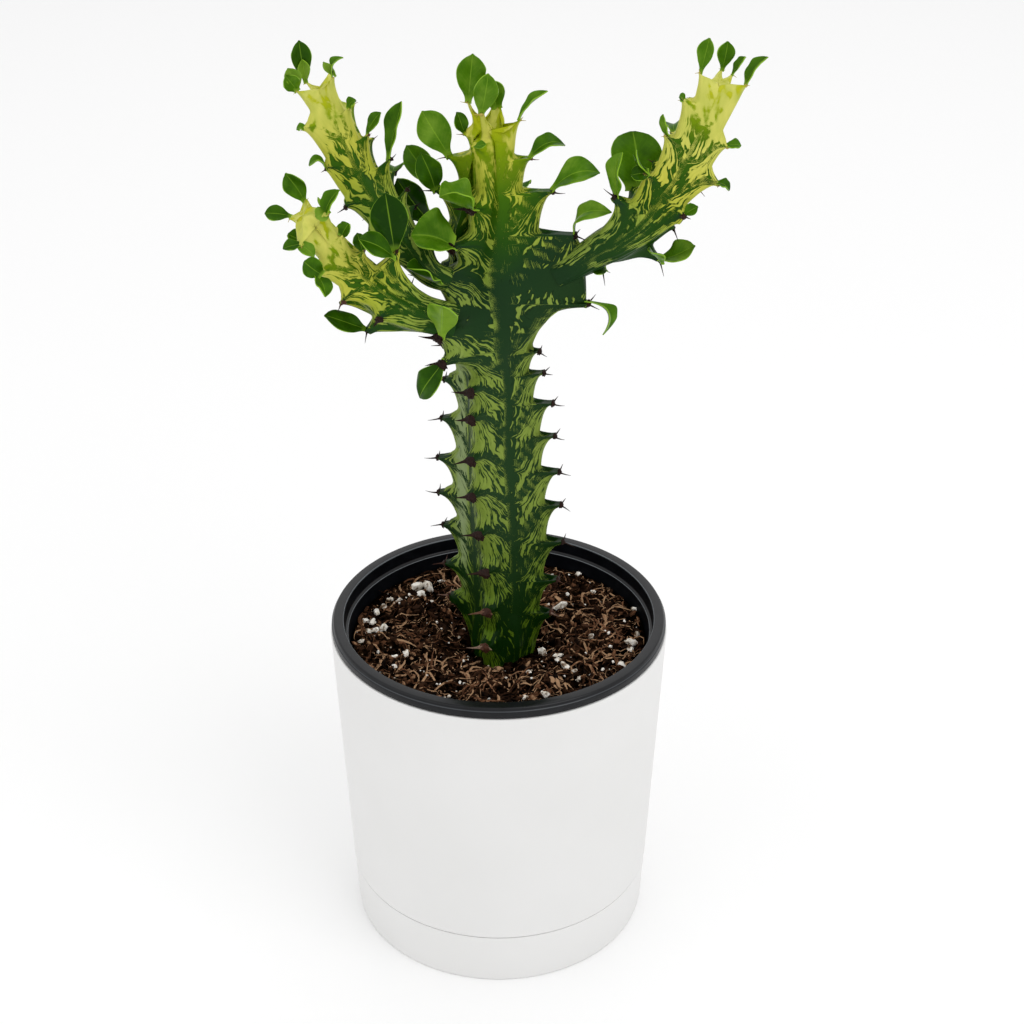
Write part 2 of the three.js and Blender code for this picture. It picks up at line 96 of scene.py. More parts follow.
def finish_mesh(name, bm, material, sharp_angle=40):
    """A shaded object at the origin, from a bmesh measured in millimetres."""
    bmesh.ops.scale(bm, vec=(MM, MM, MM), verts=bm.verts)
    mesh = bpy.data.meshes.new(name)
    bm.to_mesh(mesh)
    bm.free()
    mesh.shade_smooth()
    mesh.set_sharp_from_angle(angle=math.radians(sharp_angle))
    mesh.materials.append(material)
    piece = bpy.data.objects.new(name, mesh)
    scene.collection.objects.link(piece)
    return piece


sheet_material, _, sheet_shader = new_material("pale_floor", 0.7, 0.2)
sheet_shader.inputs["Base Color"].default_value = (FLOOR_GREY, FLOOR_GREY, FLOOR_GREY, 1)
sheet = bmesh.new()
bmesh.ops.create_grid(sheet, x_segments=1, y_segments=1, size=FLOOR_HALF_WIDTH)
floor = finish_mesh("floor", sheet, sheet_material)


# Saucer base and cover pot: two white plastic mouldings, turned in shape. The pot's neck stands in the
# saucer and leaves a thin seam above it. Their finish is satin with a faint moulding grain.
POT_STEPS = 180
CORNER_STEPS = 4


def rounded(outline):
    """The outline with an arc at each corner. A corner is radius, height and the size of its arc."""
    points = []
    for i, (radius, height, ease) in enumerate(outline):
        here = Vector((radius, 0, height))
        if ease == 0:
            points.append(here)
            continue
        before = Vector((outline[i - 1][0], 0, outline[i - 1][1]))
        after = Vector((outline[i + 1][0], 0, outline[i + 1][1]))
        start = here + (before - here).normalized() * ease
        end = here + (after - here).normalized() * ease
        for k in range(CORNER_STEPS + 1):
            share = k / CORNER_STEPS
            points.append(start.lerp(here, share).lerp(here.lerp(end, share), share))
    return points


def turned(outline, steps=POT_STEPS):
    """A closed turned body. The outline runs from the axis out, up and back to the axis."""
    bm = bmesh.new()
    verts = [bm.verts.new(point) for point in rounded(outline)]
    edges = [bm.edges.new(pair) for pair in zip(verts, verts[1:])]
    bmesh.ops.spin(bm, geom=verts + edges, cent=(0, 0, 0), axis=(0, 0, 1), angle=2 * math.pi,
                   steps=steps, use_merge=True)
    bmesh.ops.remove_doubles(bm, verts=bm.verts, dist=0.001)
    bmesh.ops.recalc_face_normals(bm, faces=bm.faces)
    return bm


# Every finish on the plant and its pots has a cloudy unevenness and a fine relief, made by this one group.
surface_grain = bpy.data.node_groups.new("surface_grain", "ShaderNodeTree")
for label, kind, way in (
    ("Cloud Scale", "NodeSocketFloat", "INPUT"), ("Cloud Detail", "NodeSocketFloat", "INPUT"),
    ("Grain Scale", "NodeSocketFloat", "INPUT"), ("Depth", "NodeSocketFloat", "INPUT"),
    ("Cloud", "NodeSocketFloat", "OUTPUT"), ("Normal", "NodeSocketVector", "OUTPUT"),
):
    surface_grain.interface.new_socket(name=label, in_out=way, socket_type=kind)
group_in = surface_grain.nodes.new("NodeGroupInput")
group_out = surface_grain.nodes.new("NodeGroupOutput")
coordinates = surface_grain.nodes.new("ShaderNodeTexCoord")
cloud = surface_grain.nodes.new("ShaderNodeTexNoise")
grain = surface_grain.nodes.new("ShaderNodeTexNoise")
bump = surface_grain.nodes.new("ShaderNodeBump")
bump.inputs["Distance"].default_value = 0.0003
for a, b in [
    (coordinates.outputs["Object"], cloud.inputs["Vector"]),
    (group_in.outputs["Cloud Scale"], cloud.inputs["Scale"]),
    (group_in.outputs["Cloud Detail"], cloud.inputs["Detail"]),
    (coordinates.outputs["Object"], grain.inputs["Vector"]),
    (group_in.outputs["Grain Scale"], grain.inputs["Scale"]),
    (group_in.outputs["Depth"], bump.inputs["Strength"]),
    (grain.outputs["Fac"], bump.inputs["Height"]),
    (cloud.outputs["Fac"], group_out.inputs["Cloud"]),
    (bump.outputs["Normal"], group_out.inputs["Normal"]),
]:
    surface_grain.links.new(a, b)


def add_grain(tree, shader, cloud_scale, cloud_detail, grain_scale, depth):
    """Places the grain group in a material, with its relief on the shader. Returns its cloud output."""
    node = tree.nodes.new("ShaderNodeGroup")
    node.node_tree = surface_grain
    for label, value in (("Cloud Scale", cloud_scale), ("Cloud Detail", cloud_detail),
                         ("Grain Scale", grain_scale), ("Depth", depth)):
        node.inputs[label].default_value = value
    tree.links.new(node.outputs["Normal"], shader.inputs["Normal"])
    return node.outputs["Cloud"]


def ramp(tree, stops):
    """A colour ramp node with the given places and colours."""
    node = tree.nodes.new("ShaderNodeValToRGB")
    elements = node.color_ramp.elements
    elements[0].position, elements[0].color = stops[0][0], (*stops[0][1], 1)
    elements[1].position, elements[1].color = stops[-1][0], (*stops[-1][1], 1)
    for place, color in stops[1:-1]:
        elements.new(place).color = (*color, 1)
    return node


def attribute(tree, name):
    """The value that a mesh carries under this name."""
    node = tree.nodes.new("ShaderNodeAttribute")
    node.attribute_name = name
    return node.outputs["Fac"]


white_plastic, tree, shader = new_material("white_plastic", 0.42, 0.4)
tint = ramp(tree, [(0.3, (0.755, 0.752, 0.742)), (0.7, (0.78, 0.777, 0.77))])
tree.links.new(add_grain(tree, shader, 22, 5, 1600, 0.04), tint.inputs["Fac"])
tree.links.new(tint.outputs["Color"], shader.inputs["Base Color"])

saucer = turned([
    (0, 0.6, 0), (46, 0.6, 0.3), (46.6, 0, 0.3), (52.1, 0, 0.8), (53.2, 20.15, 0.25), (51.2, 20.15, 0.25),
    (50.1, 2.4, 0.8), (0, 2.4, 0),
])
saucer_piece = finish_mesh("white_saucer", saucer, white_plastic)
cover = turned([
    (0, 8, 0), (49.95, 8, 0.6), (50.85, 20.5, 0), (53.3, 20.5, 0.25), (57.4, 115, 0.5), (55.6, 115, 0.5),
    (51.3, 23, 0.8), (48.85, 20, 0.4), (48.15, 10, 0.6), (0, 10, 0),
])
cover_piece = finish_mesh("white_cover_pot", cover, white_plastic)
for piece, node in ((saucer_piece, "saucer_base"), (cover_piece, "cover_pot")):
    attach(piece, "root")
    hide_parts(node)


# Grower pot: a thin black nursery pot, moulded with a rolled rim that hangs over the cover pot's lip and
# a narrow ledge inside it. The rim and the ledge are polished, thin pale lines of painted highlight run
# along their edges, and the walls inside are dull.
black_plastic, tree, shader = new_material("black_plastic", 0.5, 0.06)
shader.inputs["Coat Roughness"].default_value = 0.16
tint = ramp(tree, [
    (0.4, (0.0016, 0.002, 0.0032)), (0.76, (0.005, 0.0058, 0.0078)), (0.84, (0.05, 0.05, 0.05)),
])
# Painted highlight: the base colour turns pale grey along the edges of the rim and the ledge.
edge_highlight_mix = tree.nodes.new("ShaderNodeMix")
edge_highlight_mix.data_type = "RGBA"
edge_highlight_mix.inputs["B"].default_value = (0.16, 0.175, 0.19, 1)
for a, b in [
    (add_grain(tree, shader, 210, 9, 900, 0.05), tint.inputs["Fac"]),
    (tint.outputs["Color"], edge_highlight_mix.inputs["A"]),
    (attribute(tree, "painted_edge_highlight"), edge_highlight_mix.inputs["Factor"]),
    (edge_highlight_mix.outputs["Result"], shader.inputs["Base Color"]),
    (attribute(tree, "polish"), shader.inputs["Coat Weight"]),
]:
    tree.links.new(a, b)

grower = turned([
    (0, 26, 0), (39.8, 26, 1.2), (52.8, 112.5, 0), (53.9, 113.2, 0.3), (53.9, 117.7, 0.3),
    (55.8, 117.7, 0.3), (55.8, 115.3, 0.25), (57, 115.3, 0.3), (57, 117.6, 0.2), (56.6, 117.9, 0.2),
    (56.4, 119, 0.7), (52.9, 119, 0.4), (52.86, 118.4, 0), (52.55, 114.8, 0), (52.5, 114.3, 0.3),
    (51.5, 113.8, 0.25), (51.4, 112.3, 0.5), (38.6, 27.2, 1), (0, 27.2, 0),
])
# The rim's flat top, the ledge and the rim's skirt are polished, and the edges beside them carry a pale
# painted highlight.
polish = grower.verts.layers.float.new("polish")
painted_edge_highlight = grower.verts.layers.float.new("painted_edge_highlight")
for vert in grower.verts:
    radius, height = math.hypot(vert.co.x, vert.co.y), vert.co.z
    on_top, on_ledge = height > 118.5, 113.6 < height < 114.6 and radius < 52.6
    on_skirt = radius > 56
    vert[polish] = 0.52 if on_top else 0.5 if on_ledge else 0.4 if on_skirt else 0.0
    inner_edge = radius < 53.0 and 118.5 < height < 118.95 or radius < 51.9 and 113.7 < height < 113.85
    outer_edge = radius > 56.3 and 117.7 < height < 118.0
    vert[painted_edge_highlight] = 1.0 if inner_edge else 0.25 if outer_edge else 0.0
grower_piece = finish_mesh("black_grower_pot", grower, black_plastic)
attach(grower_piece, "root")
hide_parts("grower_pot")


# Potting mix: peat and bark fines, nearly level and sunk a little round the stem. Its surface is crumbly
# and warm brown on the crumbs, with painted shade that darkens it to nearly black in the hollows.
SOIL_RADIUS = 50.5
SOIL_LEVEL = 109.6
SOIL_CROWN = 0.7
SOIL_RINGS = 110
DIP_DEPTH, DIP_WIDTH = 3.0, 12
STEM_X, STEM_Y, STEM_RADIUS = 1, -1, 14


def soil_rise(x, y):
    """How far the crumbs at a place stand above or below the level of the mix."""
    place = Vector((x, y, 0))
    lumps = noise.fractal(place * 0.1, 1.0, 2.0, 3)
    crumbs = noise.fractal(place * 0.42 + Vector((7, 3, 1)), 0.8, 2.1, 4)
    edge = min(1, max(0, (SOIL_RADIUS - math.hypot(x, y)) / 3))
    return (lumps + crumbs) * (0.25 + 0.75 * edge)


def beside_stem(x, y):
    """How far a place on the mix lies outside the foot of the stem."""
    return math.hypot(x - STEM_X, y - STEM_Y) - STEM_RADIUS


def soil_height(x, y):
    """The height of the mix at a place: crowned, and sunk in a dip round the stem."""
    dip = DIP_DEPTH * min(1, max(0, 1 - beside_stem(x, y) / DIP_WIDTH)) ** 1.4
    return SOIL_LEVEL - SOIL_CROWN * (math.hypot(x, y) / SOIL_RADIUS) ** 2 - dip + soil_rise(x, y)


mix_outline = [(0, 28, 0), (38.2, 28, 0.5), (SOIL_RADIUS, 108.9, 0)]
mix_outline += [(SOIL_RADIUS * (1 - k / SOIL_RINGS), SOIL_LEVEL, 0) for k in range(1, SOIL_RINGS)]
mix_outline += [(0, SOIL_LEVEL, 0)]
mix = turned(mix_outline, 270)
raised = mix.verts.layers.float.new("raised")
for vert in mix.verts:
    if vert.co.z > SOIL_LEVEL - 0.1:
        vert[raised] = 0.5 + 0.5 * soil_rise(vert.co.x, vert.co.y)
        vert.co.z = soil_height(vert.co.x, vert.co.y)
bmesh.ops.recalc_face_normals(mix, faces=mix.faces)

peat, tree, shader = new_material("peat_and_bark", 0.95, 0.0)
# Painted shade: the colour is darker where the mix lies low between its crumbs, mixed with the grain.
hollow_shade_and_grain = tree.nodes.new("ShaderNodeMath")
hollow_shade_and_grain.operation = "MULTIPLY_ADD"
hollow_shade_and_grain.inputs[1].default_value = 0.35
tint = ramp(tree, [
    (0.6, (0.0004, 0.0002, 0.0001)), (0.8, (0.01, 0.005, 0.0025)), (0.98, (0.09, 0.043, 0.022)),
])
for a, b in [
    (attribute(tree, "raised"), hollow_shade_and_grain.inputs[0]),
    (add_grain(tree, shader, 520, 8, 900, 0.9), hollow_shade_and_grain.inputs[2]),
    (hollow_shade_and_grain.outputs["Value"], tint.inputs["Fac"]),
    (tint.outputs["Color"], shader.inputs["Base Color"]),
]:
    tree.links.new(a, b)
mix_piece = finish_mesh("potting_mix_top", mix, peat, 80)
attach(mix_piece, "root")
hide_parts("potting_mix")


# Bark fibres, bark crumbs and perlite: loose grains lying on the mix. The fibres are thin, curly and
# brown, with a few tan slivers of split wood; the perlite is white, light and pitted.
FIBRES, CRUMBS, SMALL_GRAINS = 1900, 1100, 130
FIBRE_REACH, GRAIN_REACH, SCATTER_REACH = 49.8, 49.3, 50


def template(make):
    """A small mesh, made once and then copied many times."""
    bm = bmesh.new()
    make(bm)
    mesh = bpy.data.meshes.new("template")
    bm.to_mesh(mesh)
    bm.free()
    return mesh


def copies(shape, placed):
    """One bmesh of many copies. Each copy has a function that moves a point into place, and a shade."""
    bm = bmesh.new()
    layer = bm.verts.layers.float.new("shade")
    done = 0
    for move, shade in placed:
        bm.from_mesh(shape)
        bm.verts.ensure_lookup_table()
        for vert in bm.verts[done:]:
            vert.co = move(vert.co)
            vert[layer] = shade
        done = len(bm.verts)
    return bm


def rod(segments, end):
    """Makes a rod along Z, cut across into seven lengths so that it can bend."""

    def make(bm):
        bmesh.ops.create_cone(bm, cap_ends=True, segments=segments, radius1=1, radius2=end, depth=1)
        sides = [e for e in bm.edges if abs(e.verts[0].co.z - e.verts[1].co.z) > 0.5]
        bmesh.ops.subdivide_edges(bm, edges=sides, cuts=6, use_grid_fill=True)

    return make


def ball(subdivisions):
    """Makes a ball of triangles."""
    return lambda bm: bmesh.ops.create_icosphere(bm, subdivisions=subdivisions, radius=1)


def lay_fibre(x, y, turn, length, thick, flat, bend, kink, lift, seed):
    """Lays a fibre: a point of the rod goes along a wandering line over the mix."""
    phase = seed * 1.7

    def move(co):
        share = co.z + 0.5
        along = co.z * length
        aside = bend * length * (share - 0.5) ** 2 * 2 + kink * math.sin(share * 7 + phase)
        px = x + along * math.cos(turn) - aside * math.sin(turn)
        py = y + along * math.sin(turn) + aside * math.cos(turn)
        reach = math.hypot(px, py)
        if reach > FIBRE_REACH:
            px, py = px * FIBRE_REACH / reach, py * FIBRE_REACH / reach
        taper = 0.55 + 0.45 * math.sin(math.pi * min(1, share + 0.15))
        ground = soil_height(px, py) + thick * 0.3 + lift * share * share
        ground += 0.35 * math.sin(share * 9 + phase * 2)
        side = co.x * thick * taper
        return Vector((px - side * math.sin(turn), py + side * math.cos(turn),
                       ground + co.y * thick * flat * taper))

    return move


def place_on_mix():
    """A random place on the mix, clear of the stem and of the pot's wall."""
    while True:
        angle, reach = dice.uniform(0, 2 * math.pi), SCATTER_REACH * math.sqrt(dice.random())
        x, y = reach * math.cos(angle), reach * math.sin(angle)
        if beside_stem(x, y) > 0 and math.hypot(x, y) < GRAIN_REACH:
            return x, y


dice = random.Random(11)
fibres = []
for _ in range(FIBRES):
    x, y = place_on_mix()
    size = dice.random() ** 3
    turn = 5 * noise.noise(Vector((x * 0.07, y * 0.07, 2))) + dice.gauss(0, 0.55)
    fibres.append((
        lay_fibre(x, y, turn, 2.2 + 12 * size, 0.15 + 0.42 * size, dice.uniform(0.5, 1),
                  dice.uniform(-0.6, 0.6), dice.uniform(0.1, 0.8), dice.uniform(-0.2, 0.9),
                  dice.random() * 6),
        dice.random() ** 1.5,
    ))
LONG_PIECES = [  # the larger strips and slivers: both ends, thickness, flatness, bend, lift and shade
    (-51, 19, -46.5, -0.4, 0.8, 0.5, 0.1, 1.5, 0.45), (-38.4, -2, -26.3, -7.3, 0.75, 0.7, 0.05, 0.6, 0.8),
    (-38.9, -12.7, -39.8, -20, 0.7, 0.6, 0, 1.2, 0.75), (-34.1, -25.3, -27.9, -22, 0.7, 0.6, 0.1, 0.4, 0.7),
    (33.3, -9.3, 31, -18, 0.6, 0.7, 0.5, 0.6, 0.6), (30.4, -16.7, 33, -26.6, 0.6, 0.7, -0.4, 0.6, 0.62),
    (31.8, 11.7, 41.6, -3.1, 0.7, 0.4, 0.1, 0.6, 0.6), (27.9, -24, 34, -29, 0.5, 0.7, 0.1, 0.6, 0.7),
    (6.3, -29.8, 13.7, -29.2, 0.55, 0.7, 0.2, 0.5, 0.95), (-44.7, 34, -43.5, 25.7, 0.5, 0.6, 0, 2.5, 0.4),
    (-45.7, -1.7, -39.1, -10.7, 0.6, 0.6, -0.2, 0.4, 0.7), (49, 12.4, 47.4, 4, 0.5, 0.6, 0.3, 2, 0.6),
    (17.2, 24.2, 22.1, 13.9, 0.7, 0.7, 0, 0.6, 0.5), (-28.1, -18.1, -20.7, -14.7, 0.7, 0.7, 0.2, 0.6, 0.5),
    (-14.7, -16.1, -10.3, -10, 0.7, 0.7, 0.1, 1.2, 0.6), (17.2, -25.6, 19.2, -33.4, 0.8, 0.6, 0, 0.8, 1.05),
    (18.4, -25.3, 21, -33.4, 0.8, 0.6, 0, 1.0, 0.9), (19.4, -25.2, 22.8, -32.6, 0.8, 0.6, 0, 0.8, 1.1),
    (20.4, -25.5, 24.2, -31.6, 0.7, 0.6, 0, 0.6, 0.8), (-20, 33, -13, 29, 0.7, 0.6, 0.2, 0.8, 0.55),
    (5, 34, 14, 37, 0.7, 0.6, 0.2, 0.8, 0.5), (-8, -38, 2, -40, 0.6, 0.6, 0.1, 0.5, 0.6),
]
for x0, y0, x1, y1, thick, flat, bend, lift, shade in LONG_PIECES:
    turn, length = math.atan2(y1 - y0, x1 - x0), math.hypot(x1 - x0, y1 - y0)
    fibres.append((
        lay_fibre((x0 + x1) / 2, (y0 + y1) / 2, turn, length, thick, flat, bend, 0.2, lift,
                  dice.random() * 6),
        shade,
    ))
fibre_mesh = copies(template(rod(4, 0.6)), fibres)

bark, tree, shader = new_material("bark_fibre", 0.8, 0.04)
lean = tree.nodes.new("ShaderNodeMath")
lean.operation = "MULTIPLY_ADD"
lean.inputs[1].default_value = 0.55
tint = ramp(tree, [
    (0.25, (0.002, 0.001, 0.0006)), (0.62, (0.045, 0.019, 0.009)), (0.88, (0.16, 0.072, 0.036)),
    (1.0, (0.4, 0.24, 0.135)),
])
for a, b in [
    (add_grain(tree, shader, 900, 4, 1500, 0.6), lean.inputs[0]),
    (attribute(tree, "shade"), lean.inputs[2]),
    (lean.outputs["Value"], tint.inputs["Fac"]),
    (tint.outputs["Color"], shader.inputs["Base Color"]),
]:
    tree.links.new(a, b)


def drop_grain(x, y, turn, size, flat, tilt, sink, seed):
    """Drops a crumb or grain: its outline is made uneven and it is turned, tilted and half sunk."""
    offset = Vector((seed * 13.7, seed * 5.1, seed * 9.3))

    def move(co):
        rough = 1 + 0.7 * noise.noise(co * 1.3 + offset)
        p = Vector((co.x * size * rough, co.y * size * rough * flat[0], co.z * size * rough * flat[1]))
        p.z += p.x * tilt
        px = x + p.x * math.cos(turn) - p.y * math.sin(turn)
        py = y + p.x * math.sin(turn) + p.y * math.cos(turn)
        return Vector((px, py, soil_height(x, y) + p.z + sink * size))

    return move


crumbs = []
for _ in range(CRUMBS):
    x, y = place_on_mix()
    size = 0.45 + 1.3 * dice.random() ** 2.5
    crumbs.append((
        drop_grain(x, y, dice.uniform(0, 6), size, (dice.uniform(0.3, 0.9), dice.uniform(0.3, 0.7)),
                   dice.uniform(-0.8, 0.8), dice.uniform(0.0, 0.4), dice.random()),
        dice.random() ** 1.5 * 0.75,
    ))
crumb_mesh = copies(template(ball(1)), crumbs)

PERLITE_PLACES = [  # the larger grains: place, size, breadth and height for their size, and turn
    (-29.6, 30.2, 2.2, 0.5, 1.0, 0.9), (-25.6, 30.6, 2.3, 0.5, 1.0, -0.9), (-27.9, 25.6, 1.7, 0.9, 0.8, 0),
    (-46.6, 9.9, 1.3, 0.8, 0.7, 0), (-44.1, 7.7, 1.4, 0.8, 0.8, 1), (-42, 5.6, 1.4, 0.8, 0.8, 2),
    (-45.3, 2.8, 1.5, 0.6, 0.8, 0.2), (-40, 4.2, 1.5, 0.8, 0.8, 1), (-42.6, 2.8, 1.1, 0.8, 0.8, 0),
    (45.3, -4.9, 1.9, 0.9, 0.8, 0.6), (44.8, -7.6, 1.5, 0.7, 0.7, 2), (47.6, 0.9, 0.9, 0.8, 1.9, 0),
    (15.1, -7.6, 2.1, 0.5, 0.9, -1), (19.2, -11.7, 1.1, 0.8, 0.8, 0), (21.1, -11.3, 1.1, 0.8, 0.8, 1),
    (20.1, -14.4, 1.2, 0.8, 0.8, 2), (22.4, -19.1, 1.7, 0.7, 0.8, -0.7), (25.3, -22.4, 0.9, 0.8, 0.8, 0),
    (31.7, -2.1, 1.5, 0.6, 0.9, 1.2), (41.5, -18.8, 1.3, 0.9, 0.8, 0), (10.1, -22.4, 1.1, 0.6, 0.8, 2.8),
    (15.4, -35.6, 1.5, 0.8, 0.7, 0), (-31.4, -12.4, 1.5, 0.7, 0.8, 1.5), (-35.1, -13.5, 1.2, 0.8, 0.8, 0),
    (-40.8, 17.9, 1.2, 0.8, 0.8, 0), (-42.9, 13.9, 1.3, 0.8, 0.8, 2), (-38.4, 23.3, 1.0, 0.6, 0.8, 0),
    (-35.5, 21.8, 1.1, 0.5, 0.8, 0.2), (-32.2, 26, 0.8, 0.8, 0.8, 0), (28.5, 40.6, 1.2, 0.8, 0.8, 0),
    (33.6, 27.5, 0.9, 0.8, 0.8, 0), (21.6, 17.2, 2.2, 0.4, 0.6, 0.3), (-34.7, -20.1, 0.9, 0.8, 0.8, 0),
    (8.9, -36.5, 1.2, 0.7, 0.8, 0.5), (26.7, -26.9, 1.3, 0.5, 0.8, 1.4), (-23.6, 20.8, 0.8, 0.8, 0.8, 0),
    (-21, 35.9, 1.2, 0.5, 0.7, 0.3), (47.6, 16.5, 1.1, 0.5, 0.7, 2.8), (-47.4, -3.5, 1.0, 0.8, 0.8, 0),
]
grains = [(x, y, size, (wide, tall), turn) for x, y, size, wide, tall, turn in PERLITE_PLACES]
for _ in range(SMALL_GRAINS):
    x, y = place_on_mix()
    size = 0.25 + 0.45 * dice.random() ** 2
    grains.append((x, y, size, (dice.uniform(0.6, 1), 0.8), dice.uniform(0, 6)))
perlite_mesh = copies(template(ball(2)), [
    (drop_grain(x, y, turn, size, flat, dice.uniform(-0.3, 0.3), dice.uniform(0.3, 0.6), dice.random()),
     dice.random()) for x, y, size, flat, turn in grains
])

perlite, tree, shader = new_material("perlite", 0.85, 0.15)
tint = ramp(tree, [(0.36, (0.16, 0.1, 0.06)), (0.46, (0.75, 0.68, 0.58)), (0.54, (0.97, 0.93, 0.86))])
tree.links.new(add_grain(tree, shader, 420, 4, 1500, 0.8), tint.inputs["Fac"])
tree.links.new(tint.outputs["Color"], shader.inputs["Base Color"])

for name, bm, material, sharp in (
    ("bark_fibres", fibre_mesh, bark, 60), ("bark_crumbs", crumb_mesh, bark, 25),
    ("perlite_grains", perlite_mesh, perlite, 45),
):
    piece = finish_mesh(name, bm, material, sharp)
    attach(piece, "root")


